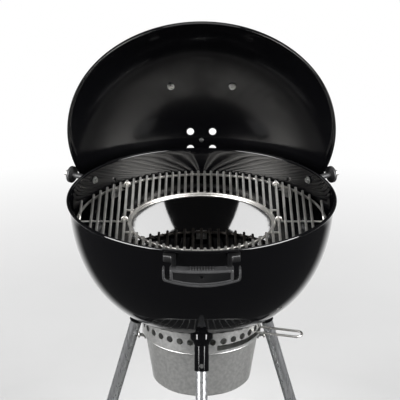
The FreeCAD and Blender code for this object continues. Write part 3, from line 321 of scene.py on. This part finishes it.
def start_piece(name):
    """Begin a piece in edit mode with one selected vertex at the world's origin."""
    deselect_everything()
    bpy.ops.mesh.primitive_plane_add(size=0.01, location=(0, 0, 0))
    piece = bpy.context.object
    piece.name = name
    piece.data.name = name
    bpy.ops.object.mode_set(mode="EDIT")
    bpy.ops.mesh.select_all(action="SELECT")
    bpy.ops.mesh.merge(type="CENTER")
    return piece


def trace(points):
    """Draw connected edges through points, starting from the one selected vertex."""
    bpy.ops.transform.translate(value=points[0])
    here = Vector(points[0])
    for point in points[1:]:
        bpy.ops.mesh.extrude_region_move(TRANSFORM_OT_translate={"value": Vector(point) - here})
        here = Vector(point)


def close_seams():
    """Merge doubled vertices and turn every face outwards."""
    bpy.ops.mesh.select_all(action="SELECT")
    bpy.ops.mesh.remove_doubles(threshold=MERGE)
    bpy.ops.mesh.normals_make_consistent(inside=False)


def finish_piece(piece, finish, body, replaced=(), smooth=35):
    """Leave edit mode, close the seams and give the piece its finish and its body."""
    close_seams()
    bpy.ops.object.mode_set(mode="OBJECT")
    bpy.ops.object.shade_smooth_by_angle(angle=math.radians(smooth))
    if not piece.data.materials:
        piece.data.materials.append(FINISHES[finish])
    if body:
        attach(piece, body)
    if replaced:
        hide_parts(*replaced)
    return piece


def turned(name, outline, steps):
    """Spin an outline of (radius, height) points in metres about the world's Z axis."""
    piece = start_piece(name)
    trace([(radius, 0, height) for radius, height in outline])
    bpy.ops.mesh.select_all(action="SELECT")
    bpy.ops.mesh.spin(steps=steps, angle=math.tau, center=(0, 0, 0), axis=(0, 0, 1))
    return piece


def plate(name, outline, low, high):
    """Closed outline of (x, z) points, given a thickness from y = low to y = high."""
    piece = start_piece(name)
    trace([(x, low, z) for x, z in outline])
    bpy.ops.mesh.select_all(action="SELECT")
    bpy.ops.mesh.edge_face_add()
    bpy.ops.mesh.extrude_region_move(TRANSFORM_OT_translate={"value": (0, high - low, 0)})
    bpy.ops.mesh.select_all(action="SELECT")
    bpy.ops.mesh.normals_make_consistent(inside=False)
    return piece


def round_edges(piece, width, segments, angle=40):
    """Bevel every edge sharper than an angle."""
    bpy.ops.object.mode_set(mode="OBJECT")
    bevel = piece.modifiers.new("edges", "BEVEL")
    bevel.width = width
    bevel.segments = segments
    bevel.limit_method = "ANGLE"
    bevel.angle_limit = math.radians(angle)
    bevel.harden_normals = False
    bpy.ops.object.modifier_apply(modifier=bevel.name)
    bpy.ops.object.mode_set(mode="EDIT")


def place(piece, frame_matrix):
    """Move a finished mesh from its own frame into the world."""
    bpy.ops.object.mode_set(mode="OBJECT")
    piece.matrix_world = frame_matrix
    bpy.ops.object.transform_apply(location=True, rotation=True, scale=True)
    bpy.ops.object.mode_set(mode="EDIT")


def bore(piece, spots, radius, length, direction):
    """Cut round holes through a piece along one direction."""
    bpy.ops.object.mode_set(mode="OBJECT")
    turn = Vector(direction).to_track_quat("Z", "Y").to_euler()
    for spot in spots:
        deselect_everything()
        bpy.ops.mesh.primitive_cylinder_add(vertices=48, radius=radius, depth=length, location=spot,
                                            rotation=turn)
        drill = bpy.context.object
        bpy.context.view_layer.objects.active = piece
        cut = piece.modifiers.new("bore", "BOOLEAN")
        cut.operation = "DIFFERENCE"
        cut.solver = "EXACT"
        cut.object = drill
        bpy.ops.object.modifier_apply(modifier=cut.name)
        bpy.data.objects.remove(drill)
    piece.select_set(True)
    bpy.ops.object.mode_set(mode="EDIT")


def joined(name, pieces):
    """Join several finished pieces into one."""
    deselect_everything()
    for piece in pieces:
        piece.select_set(True)
    bpy.context.view_layer.objects.active = pieces[0]
    bpy.ops.object.join()
    pieces[0].name = name
    pieces[0].data.name = name
    return pieces[0]


def ball_arc(radius, first, last, count):
    """Points on an arc about the origin, angles in degrees from the first axis."""
    turns = [math.radians(first + (last - first) * index / count) for index in range(count + 1)]
    return [(radius * math.cos(turn), radius * math.sin(turn)) for turn in turns]


# ---------------------------------------------------------------- bowl

def bowl_wall(depth, radius, fullness, count):
    """Outline of the bowl's face from the bottom up, measured down from the rim."""
    points = []
    for index in range(count + 1):
        turn = math.radians(90 * index / count)
        height = -depth * math.cos(turn) ** 0.9
        points.append((radius * max(0.0, 1 - (height / depth) ** 2) ** (1 / fullness), height))
    return points


class GRILL_OT_bowl(bpy.types.Operator):
    """Deep enamelled bowl with a rolled rim and its three ash holes"""

    bl_idname = "grill.bowl"
    bl_label = "Bowl"

    def execute(self, context):
        sizes = context.scene.grill_shells
        wall = sizes.wall
        outer = bowl_wall(sizes.bowl_depth, sizes.bowl_radius, sizes.bowl_fullness, 56)
        inner = bowl_wall(sizes.bowl_depth - wall, sizes.bowl_radius - wall, sizes.bowl_fullness, 56)
        bead = RIM_RADIUS - BEAD_RADIUS
        roll = [(bead + across, up) for across, up in ball_arc(BEAD_RADIUS, -120, 165, 14)]
        outline = outer[:-1] + roll + inner[::-1]
        bowl = turned("enamel_bowl", outline, SHELL_STEPS)
        place(bowl, Matrix.Translation(RIM_CENTRE))
        spots = []
        for degrees in (40, 160, 280):
            turn = math.radians(degrees)
            spots.append(RIM_CENTRE + Vector((sizes.ash_orbit * math.cos(turn),
                                              sizes.ash_orbit * math.sin(turn), -sizes.bowl_depth)))
        close_seams()
        bore(bowl, spots, sizes.ash_hole, 0.06, (0, 0, 1))
        finish_piece(bowl, "enamel", "stand", ("bowl_shell",), 30)
        return {"FINISHED"}


# ---------------------------------------------------------------- lid

def lid_frame(sizes):
    """The lid's own frame: its edge's centre, with Z towards the top of the dome."""
    lean = Matrix.Rotation(math.radians(sizes.lid_lean - 90), 4, "X")
    return Matrix.Translation(RIM_CENTRE + Vector((0, sizes.lid_back, sizes.lid_up))) @ lean


def dome_ball(sizes):
    """The ball that the dome is a cap of: its radius, and its middle's height in the lid's frame."""
    cap = sizes.lid_depth - sizes.lid_step
    radius = (sizes.lid_shoulder ** 2 + cap ** 2) / (2 * cap)
    return radius, sizes.lid_depth - radius


def dome_outline(sizes, inset, count):
    """Outline of the dome's face from its shoulder to its top."""
    whole, middle = dome_ball(sizes)
    radius = whole - inset
    first = math.degrees(math.acos((sizes.lid_shoulder - inset) / radius))
    return [(across, middle + up) for across, up in ball_arc(radius, first, 90, count)]


def damper_frame(sizes):
    """The damper's frame on the dome, Z out of the dome along its rivet."""
    turn = Matrix.Rotation(math.radians(-sizes.damper_off), 4, "X")
    return lid_frame(sizes) @ Matrix.Translation((0, 0, dome_ball(sizes)[1])) @ turn


class GRILL_OT_lid(bpy.types.Operator):
    """Enamelled dome with a stepped hem and the four draught holes"""

    bl_idname = "grill.lid"
    bl_label = "Lid"

    def execute(self, context):
        sizes = context.scene.grill_shells
        outer = dome_outline(sizes, 0.0, 64)
        inner = dome_outline(sizes, sizes.wall, 64)
        hem = sizes.lid_hem_radius
        edge = 0.8 * MM
        lip = [(hem - edge + across, edge + up) for across, up in ball_arc(edge, -180, 0, 6)]
        step = [(sizes.lid_shoulder + (hem - sizes.lid_shoulder) * (1 - math.cos(math.pi * index / 6)) / 2,
                 sizes.lid_step - (sizes.lid_step - sizes.lid_hem) * index / 6) for index in range(1, 7)]
        step_inner = [(across - sizes.wall, up - edge / 2) for across, up in step]
        outline = outer[::-1] + step + lip[::-1] + step_inner[::-1] + inner
        lid = turned("enamel_lid", outline, SHELL_STEPS)
        close_seams()
        place(lid, lid_frame(sizes))
        damper = damper_frame(sizes)
        outward = damper.to_3x3() @ Vector((0, 0, 1))
        low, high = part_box("damper_disc")
        height = ((low + high) / 2 - damper.translation).dot(outward)
        spots = [damper @ Vector((across * sizes.vent_across, along * sizes.vent_along, height))
                 for across in (-1, 1) for along in (-1, 1)]
        bore(lid, spots, sizes.vent_radius, 0.08, outward)
        finish_piece(lid, "enamel", "lid", ("lid_shell",), 30)
        lid.data.materials.append(FINISHES["enamel_inside"])
        for face in lid.data.polygons:
            if (face.center - damper.translation).dot(face.normal) < 0:
                face.material_index = 1
        return {"FINISHED"}


class GrillShells(bpy.types.PropertyGroup):
    """Sizes of the enamelled shells"""

    wall: length("Wall", "Thickness of the steel with its enamel", 0.0015)
    bowl_radius: length("Bowl radius", "Outer face just under the rim", 0.2808)
    bowl_depth: length("Bowl depth", "Rim to the bowl's outer bottom", 0.2746)
    bowl_fullness: number("Bowl fullness", "Power of the bowl's outline", 2.818)
    ash_orbit: length("Ash orbit", "Ash holes from the bowl's axis", 0.066)
    ash_hole: length("Ash hole", "Radius of an ash hole", 0.022)
    lid_depth: length("Lid depth", "Lid's edge to the top of its dome", 0.182)
    lid_shoulder: length("Lid shoulder", "Dome radius above the hem", 0.2845)
    lid_hem_radius: length("Hem radius", "Outer face of the hem", 0.2915)
    lid_hem: length("Hem height", "Straight height of the hem", 0.009)
    lid_step: length("Step height", "Lid's edge to the dome's shoulder", 0.012)
    lid_lean: number("Lid lean", "Lean of the hung lid in degrees", 17.0)
    lid_back: length("Lid back", "Lid's edge centre behind the bowl's axis", 0.147)
    lid_up: length("Lid up", "Lid's edge centre above the rim", 0.0895)
    damper_off: number("Damper off", "Damper off the dome's axis in degrees", 24.9)
    vent_across: length("Vent across", "Draught hole beside the rivet", 0.025)
    vent_along: length("Vent along", "Draught hole above the rivet", 0.0197)
    vent_radius: length("Vent radius", "Radius of a draught hole", 0.00825)


# ---------------------------------------------------------------- grips

def sag(across, half, ends, middle):
    """Height of a gently curved edge, from its ends to its middle."""
    return middle + (ends - middle) * (across / half) ** 2


class GRILL_OT_front_grip(bpy.types.Operator):
    """Moulded front grip: ribbed top, sunk front panel, curved lip and two tool hooks"""

    bl_idname = "grill.front_grip"
    bl_label = "Front grip"

    def execute(self, context):
        sizes = context.scene.grill_grip
        top = RIM_CENTRE.z + sizes.top
        front = GRIP_LOW.y
        pieces = [self.body(sizes, top, front), self.strap(sizes, front)]
        for index in range(sizes.ribs):
            x = (index - (sizes.ribs - 1) / 2) * sizes.rib_pitch
            pieces.append(self.rib(sizes, x, top, front))
        for side in (-1, 1):
            pieces.append(self.arm(side, sizes, top, front))
        grip = joined("front_grip", pieces)
        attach(grip, "stand")
        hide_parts("bowl_handle")
        return {"FINISHED"}

    def lip(self, sizes, x, half, raised):
        """Point on the curved lip, raised above its lower edge."""
        low = RIM_CENTRE.z + sizes.lip
        return x, sag(x, half, low + sizes.rise, low) + raised

    def body(self, sizes, top, front):
        """Middle of the grip, with a sunk panel and a screw's recess in its front."""
        half = sizes.body_half
        span = [half * (1 - 2 * index / GRIP_STEPS) for index in range(GRIP_STEPS + 1)]
        upper = [(x, sag(x, half, top + sizes.shoulder, top)) for x in span]
        lower = [self.lip(sizes, x, GRIP_HIGH.x, sizes.strap / 2) for x in span[::-1]]
        body = plate("grip_body", upper + lower, front + 0.001, front + sizes.depth)
        round_edges(body, 0.004, 5)
        bpy.ops.mesh.select_all(action="DESELECT")
        bpy.ops.object.mode_set(mode="OBJECT")
        for face in body.data.polygons:
            face.select = face.normal.y < -0.99 and face.area > 0.001
        bpy.ops.object.mode_set(mode="EDIT")
        bpy.ops.mesh.select_mode(type="FACE")
        bpy.ops.mesh.inset(thickness=sizes.panel_border)
        bpy.ops.mesh.inset(thickness=0.0015, depth=-sizes.panel_sunk)
        # The sunk front panel takes the darker nylon: painted shade on the grip's front face.
        body.data.materials.append(FINISHES["nylon"])
        body.data.materials.append(FINISHES["panel"])
        body.active_material_index = 1
        bpy.ops.object.material_slot_assign()
        bpy.ops.mesh.select_mode(type="VERT")
        bore(body, [Vector((0, front + 0.003, top - 0.014))], sizes.screw, 0.012, (0, 1, 0))
        return finish_piece(body, "nylon", None)

    def strap(self, sizes, front):
        """Curved lip that runs into an upturned hook at each end."""
        reach = GRIP_HIGH.x
        within = reach - sizes.strap
        tip = RIM_CENTRE.z + sizes.hook_tip
        corner = self.lip(sizes, reach, reach, 0.006)[1]
        bend = self.lip(sizes, reach, reach, sizes.strap + 0.004)[1]
        spread = [1 - 2 * index / GRIP_STEPS for index in range(GRIP_STEPS + 1)]
        outer = [(reach - 0.0015, tip), (reach, tip - 0.004), (reach, corner)]
        outer += [(reach * part * 0.97, self.lip(sizes, reach * part, reach, 0)[1]) for part in spread]
        outer += [(-reach, corner), (-reach, tip - 0.004), (-reach + 0.0015, tip)]
        inner = [(-within - 0.001, tip), (-within, tip - 0.004), (-within, bend)]
        inner += [(-within * part * 0.97, self.lip(sizes, within * part, reach, sizes.strap)[1])
                  for part in spread]
        inner += [(within, bend), (within, tip - 0.004), (within + 0.001, tip)]
        strap = plate("grip_strap", outer + inner, front, front + sizes.hook_depth)
        round_edges(strap, 0.0014, 3, 50)
        return finish_piece(strap, "nylon", None)

    def rib(self, sizes, x, top, front):
        """One rounded rib across the top of the grip."""
        half = sizes.rib_width / 2
        low = top - 0.001
        high = top + sizes.rib_height
        outline = [(x - half, low), (x - half, high), (x + half, high), (x + half, low)]
        rib = plate("grip_rib", outline, front + 0.006, front + sizes.depth - 0.005)
        round_edges(rib, 0.0008, 3)
        return finish_piece(rib, "nylon", None)

    def arm(self, side, sizes, top, front):
        """Neck from the grip's end up to the block that bolts against the bowl."""
        inner = side * (sizes.body_half - 0.012)
        outer = side * GRIP_HIGH.x
        near = side * (sizes.body_half - 0.003)
        wall = RIM_CENTRE.y - math.sqrt(RIM_RADIUS ** 2 - outer ** 2) + 0.006
        inner_wall = RIM_CENTRE.y - math.sqrt(RIM_RADIUS ** 2 - inner ** 2) + 0.006
        outline = [(inner, inner_wall), (inner, front + 0.03), (inner - side * 0.004, front + 0.012),
                   (near, front + 0.012), (near, wall - 0.024), (outer, wall - 0.020), (outer, wall)]
        low = top - 0.012
        high = top + 0.004
        piece = plate("grip_arm", outline, 0, high - low)
        place(piece, Matrix(((1, 0, 0, 0), (0, 0, 1, 0), (0, 1, 0, low), (0, 0, 0, 1))))
        bpy.ops.mesh.select_all(action="SELECT")
        bpy.ops.mesh.normals_make_consistent(inside=False)
        round_edges(piece, 0.003, 4)
        # The arm takes the darker nylon: painted shade under the rim.
        return finish_piece(piece, "panel", None)


class GRILL_OT_lid_grip(bpy.types.Operator):
    """Moulded grip across the lid: an arched bar on two feet that follow the dome"""

    bl_idname = "grill.lid_grip"
    bl_label = "Lid grip"

    def execute(self, context):
        shells = context.scene.grill_shells
        sizes = context.scene.grill_lid_grip
        whole, middle = dome_ball(shells)

        def seat(across):
            """Height of the foot's face over the dome, at a distance from the lid's axis."""
            return middle + math.sqrt((whole + sizes.stand_off) ** 2 - across ** 2)

        top = seat(sizes.reach) + sizes.tall
        outer = sizes.reach + sizes.foot / 2
        inner = sizes.reach - sizes.foot / 2
        shoulder = sizes.reach + 0.006
        spread = [2 * index / 12 - 1 for index in range(13)]
        over = [(shoulder * part, top - sizes.arch * part ** 2) for part in spread]
        under = [(-inner * 0.86 * part, top - sizes.thick - sizes.arch * 0.6 * part ** 2) for part in spread]
        left = [(-outer, seat(outer)), (-outer + 0.001, seat(outer) + 0.012), (-outer + 0.003, top - 0.022)]
        right = [(-x, z) for x, z in left[::-1]]
        well = [(inner - 0.002, top - 0.034), (inner, seat(inner) + 0.008), (inner, seat(inner))]
        outline = left + over + right + well[::-1] + under + [(-x, z) for x, z in well]
        grip = plate("lid_grip", outline, -sizes.deep / 2, sizes.deep / 2)
        round_edges(grip, 0.005, 5)
        place(grip, lid_frame(shells))
        finish_piece(grip, "nylon", "lid", ("lid_handle",))
        return {"FINISHED"}


class GrillLidGrip(bpy.types.PropertyGroup):
    """Sizes of the lid's grip"""

    reach: length("Reach", "Each foot's bolt from the lid's axis", 0.0685)
    foot: length("Foot", "Width of a foot on the dome", 0.024)
    stand_off: length("Stand-off", "Feet above the dome's face", 0.00265)
    tall: length("Tall", "Top of the grip above its feet", 0.0583)
    thick: length("Thick", "Bar's thickness away from the dome", 0.021)
    arch: length("Arch", "Drop of the bar's top towards its ends", 0.007)
    deep: length("Deep", "Bar's width", 0.026)


# ---------------------------------------------------------------- tyres

class GRILL_OT_tyres(bpy.types.Operator):
    """Two moulded tyres with round shoulders and raised tread blocks"""

    bl_idname = "grill.tyres"
    bl_label = "Tyres"

    def execute(self, context):
        sizes = context.scene.grill_tyres
        for side in ("left", "right"):
            node = "wheel_tyre_" + side
            low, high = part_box(node)
            self.tyre(side, node, (low + high) / 2, (high.x - low.x) / 2, (high.z - low.z) / 2, sizes)
        return {"FINISHED"}

    def tyre(self, side, node, centre, half, radius, sizes):
        """One tyre: a round-shouldered band with every second face of its crown raised."""
        crown = radius - sizes.block_height
        corner = sizes.shoulder
        round_over = [(crown - corner + across, half - corner + up)
                      for across, up in ball_arc(corner, 0, 90, 6)]
        outline = [(across, -up) for across, up in round_over[::-1]] + round_over
        outline = [(sizes.seat, -half)] + outline + [(sizes.seat, half), (sizes.seat, -half)]
        tyre = turned("tyre_" + side, outline, sizes.blocks * 2)
        close_seams()
        bpy.ops.object.mode_set(mode="OBJECT")
        for face in tyre.data.polygons:
            across = math.hypot(face.center.x, face.center.y)
            turn = math.atan2(face.center.y, face.center.x) % math.tau / math.tau
            block = int(turn * sizes.blocks * 2) % 2 == 0
            face.select = block and abs(face.center.z) < half * 0.5 and across > crown * 0.97
        bpy.ops.object.mode_set(mode="EDIT")
        bpy.ops.mesh.select_mode(type="FACE")
        bpy.ops.mesh.inset(thickness=0.0006, depth=sizes.block_height)
        bpy.ops.mesh.select_mode(type="VERT")
        place(tyre, Matrix.Translation(centre) @ Matrix.Rotation(math.pi / 2, 4, "Y"))
        finish_piece(tyre, "tyre", "wheel_" + side, (node,), 30)


class GrillTyres(bpy.types.PropertyGroup):
    """Sizes of the tyres"""

    seat: length("Seat", "Inner radius, on the hub's rim", 0.07305)
    shoulder: length("Shoulder", "Radius of the rounded shoulder", 0.008)
    block_height: length("Block height", "Height of a tread block", 0.0022)
    blocks: IntProperty(name="Blocks", description="Tread blocks round the tyre", default=36)


class GrillGrip(bpy.types.PropertyGroup):
    """Sizes of the front grip"""

    top: length("Top", "Top of the grip's middle, from the rim", -0.0075)
    shoulder: length("Shoulder", "Rise of the top towards its ends", 0.0035)
    lip: length("Lip", "Lowest point of the lip, from the rim", -0.0425)
    rise: length("Rise", "Rise of the lip towards its ends", 0.014)
    strap: length("Strap", "Thickness of lip and hooks", 0.0045)
    depth: length("Depth", "Grip from front to back", 0.026)
    hook_depth: length("Hook depth", "Hooks from front to back", 0.020)
    hook_tip: length("Hook tip", "Top of the hooks, from the rim", -0.003)
    body_half: length("Body half", "Half width of the grip's body", 0.064)
    screw: length("Screw", "Radius of the screw's recess", 0.0038)
    ribs: IntProperty(name="Ribs", description="Ribs across the top", default=9)
    rib_width: length("Rib width", "Width of a rib", 0.0028)
    rib_height: length("Rib height", "Height of a rib", 0.0022)
    panel_border: length("Panel border", "Flat face left round the panel", 0.001)
    panel_sunk: length("Panel sunk", "Depth of the panel", 0.002)
    rib_pitch: length("Rib pitch", "Distance between ribs", 0.0056)


# ---------------------------------------------------------------- studio

def area_light(name, spot, width, tall, power):
    """Soft rectangular light at a spot, aimed at the rim's centre."""
    light = bpy.data.lights.new(name, "AREA")
    light.shape = "RECTANGLE"
    light.size = width
    light.size_y = tall
    light.energy = power
    lamp = bpy.data.objects.new(name, light)
    bpy.context.scene.collection.objects.link(lamp)
    lamp.location = spot
    lamp.rotation_euler = (RIM_CENTRE - spot).to_track_quat("-Z", "Y").to_euler()


class GRILL_OT_stage(bpy.types.Operator):
    """Pale floor, soft studio light and the camera"""

    bl_idname = "grill.stage"
    bl_label = "Stage"

    def execute(self, context):
        settings = context.scene.grill_stage
        self.floor(context, settings)
        self.wall(settings)
        self.surround(context, settings)
        for side in (-1, 1):
            spot = self.around(side * settings.key_side, settings.key_height, settings.key_distance)
            area_light("softbox", spot, settings.key_width, settings.key_tall, settings.key_power)
        spot = RIM_CENTRE + Vector((0, settings.top_back, settings.top_height))
        area_light("overhead_softbox", spot, settings.top_size, settings.top_size, settings.top_power)
        self.camera(context, settings)
        context.scene.view_settings.view_transform = "Standard"
        return {"FINISHED"}

    def floor(self, context, settings):
        """Round pale floor that fades to white away from the grill."""
        deselect_everything()
        bpy.ops.mesh.primitive_circle_add(vertices=96, radius=settings.floor_radius, fill_type="NGON",
                                          location=(0, 0, 0))
        floor = context.object
        floor.name = "studio_floor"
        colours = context.scene.grill_colours
        material, tree, shader, place = new_finish("pale_floor_paint", colours.floor_dark, 0.0, 0.9)
        tint(tree, shader, place, 400, colours.floor_dark, colours.floor_light)
        glow = add_node(tree, "ShaderNodeEmission", {"Color": WHITE, "Strength": 1.0})
        away = add_node(tree, "ShaderNodeVectorMath", {"operation": "LENGTH"}, {0: place})
        limits = {"From Min": settings.floor_near, "From Max": settings.floor_far}
        fade = add_node(tree, "ShaderNodeMapRange", limits, {"Value": away.outputs["Value"]})
        shaders = {0: fade.outputs["Result"], 1: shader.outputs["BSDF"], 2: glow.outputs["Emission"]}
        blend = add_node(tree, "ShaderNodeMixShader", {}, shaders)
        tree.links.new(blend.outputs["Shader"], tree.nodes["Material Output"].inputs["Surface"])
        floor.data.materials.append(material)
        floor.visible_glossy = False

    def camera(self, context, settings):
        """Camera in front of the grill, a little above it."""
        camera = bpy.data.cameras.new("camera")
        camera.sensor_width = 36
        camera.lens = settings.lens
        holder = bpy.data.objects.new("camera", camera)
        context.scene.collection.objects.link(holder)
        tilt = math.radians(settings.elevation)
        back = Vector((0, -math.cos(tilt), math.sin(tilt)))
        up = Vector((0, math.sin(tilt), math.cos(tilt)))
        aim = RIM_CENTRE + Vector((settings.aim_across, 0, 0)) + up * settings.aim_up
        holder.location = aim + back * settings.distance
        holder.rotation_euler = (-back).to_track_quat("-Z", "Y").to_euler()
        context.scene.camera = holder

    def wall(self, settings):
        """White cyclorama round the floor, seen by the camera and lighting nothing."""
        deselect_everything()
        bpy.ops.mesh.primitive_uv_sphere_add(segments=64, ring_count=32, radius=settings.wall_radius,
                                             location=(0, 0, 0))
        wall = bpy.context.object
        wall.name = "studio_wall"
        material = bpy.data.materials.new("lit_cyclorama")
        material.use_nodes = True
        tree = material.node_tree
        tree.nodes.clear()
        glow = add_node(tree, "ShaderNodeEmission", {"Color": WHITE, "Strength": 1.0})
        add_node(tree, "ShaderNodeOutputMaterial", {}, {"Surface": glow.outputs["Emission"]})
        wall.data.materials.append(material)
        for ray in ("visible_diffuse", "visible_glossy", "visible_transmission", "visible_volume_scatter",
                    "visible_shadow"):
            setattr(wall, ray, False)

    def around(self, side, height, distance):
        """Spot at an angle from the front and a height angle, seen from the rim's centre."""
        across = math.radians(side)
        up = math.radians(height)
        level = Vector((math.sin(across), -math.cos(across), 0)) * math.cos(up)
        return RIM_CENTRE + distance * (level + Vector((0, 0, math.sin(up))))

    def surround(self, context, settings):
        """Dim room with a bright sweep behind and below, opposite the camera."""
        world = bpy.data.worlds.new("studio")
        world.use_nodes = True
        tree = world.node_tree
        tilt = math.radians(settings.elevation)
        place = add_node(tree, "ShaderNodeTexCoord").outputs["Generated"]
        toward = add_node(tree, "ShaderNodeVectorMath", {"operation": "DOT_PRODUCT"}, {0: place})
        toward.inputs[1].default_value = (0, math.cos(tilt), -math.sin(tilt))
        ramp = add_node(tree, "ShaderNodeValToRGB", {}, {"Fac": toward.outputs["Value"]})
        ramp.color_ramp.interpolation = "EASE"
        ends = ((settings.sweep_edge, settings.room), (settings.sweep_core, settings.sweep))
        for element, (degrees, grey) in zip(ramp.color_ramp.elements, ends):
            element.position = math.cos(math.radians(degrees))
            element.color = (grey, grey, grey, 1)
        tree.links.new(ramp.outputs["Color"], tree.nodes["Background"].inputs["Color"])
        context.scene.world = world


class GrillStage(bpy.types.PropertyGroup):
    """The studio's settings"""

    lens: number("Lens", "Focal length in millimetres", 203.6)
    distance: length("Distance", "Camera to the rim's centre", 4.809)
    elevation: number("Elevation", "Camera's height angle in degrees", 22.7)
    aim_across: number("Aim across", "Aim, right of the rim's centre", -0.0034)
    aim_up: number("Aim up", "Aim, above the rim's centre in the view", -0.0044)
    wall_radius: length("Wall radius", "Cyclorama round the floor", 28.0)
    room: number("Room", "Brightness of the dim room", 0.05)
    sweep: number("Sweep", "Brightness of the sweep behind", 1.0)
    sweep_core: number("Sweep core", "Half angle of its bright middle in degrees", 14.0)
    sweep_edge: number("Sweep edge", "Half angle where it has faded in degrees", 40.0)
    key_power: number("Key power", "Each front softbox in watts", 235.0)
    key_side: number("Key side", "Each softbox's angle from the front in degrees", 60.0)
    key_height: number("Key height", "Each softbox's height angle in degrees", 19.0)
    key_distance: length("Key distance", "Softbox to the rim's centre", 2.8)
    key_width: length("Key width", "Softbox across", 2.3)
    key_tall: length("Key height size", "Softbox from top to bottom", 2.3)
    top_back: length("Top back", "Overhead softbox behind the rim's centre", 0.5)
    top_height: length("Top height", "Overhead softbox above the rim", 3.0)
    top_size: length("Top size", "Side of the overhead softbox", 2.4)
    top_power: number("Top power", "Overhead softbox in watts", 18.0)
    floor_radius: length("Floor radius", "Round floor of the studio", 9.0)
    floor_near: length("Floor near", "Where the floor starts to fade", 0.8)
    floor_far: length("Floor far", "Where the floor has faded to white", 2.2)


class GRILL_PT_panel(bpy.types.Panel):
    """List of the grill's operators"""

    bl_label = "Kettle grill"
    bl_idname = "GRILL_PT_panel"
    bl_space_type = "VIEW_3D"
    bl_region_type = "UI"
    bl_category = "Grill"

    def draw(self, context):
        for step in STEPS:
            self.layout.operator(step.bl_idname)


STEPS = [GRILL_OT_finishes, GRILL_OT_bowl, GRILL_OT_lid, GRILL_OT_front_grip, GRILL_OT_lid_grip,
         GRILL_OT_tyres, GRILL_OT_stage]
SETTINGS = {"grill_colours": GrillColours, "grill_shells": GrillShells, "grill_grip": GrillGrip,
            "grill_lid_grip": GrillLidGrip, "grill_tyres": GrillTyres, "grill_stage": GrillStage}
CLASSES = list(SETTINGS.values()) + STEPS + [GRILL_PT_panel]


def register():
    """Register every class and hang the settings on the scene."""
    for kind in CLASSES:
        bpy.utils.register_class(kind)
    for name, group in SETTINGS.items():
        setattr(bpy.types.Scene, name, PointerProperty(type=group))


def unregister():
    """Take the settings and the classes away again."""
    for name in SETTINGS:
        delattr(bpy.types.Scene, name)
    for kind in reversed(CLASSES):
        bpy.utils.unregister_class(kind)


def main():
    """Build every piece and the stage."""
    register()
    bpy.ops.grill.finishes()
    bpy.ops.grill.bowl()
    bpy.ops.grill.lid()
    bpy.ops.grill.front_grip()
    bpy.ops.grill.lid_grip()
    bpy.ops.grill.tyres()
    bpy.ops.grill.stage()


if __name__ == "__main__":
    main()
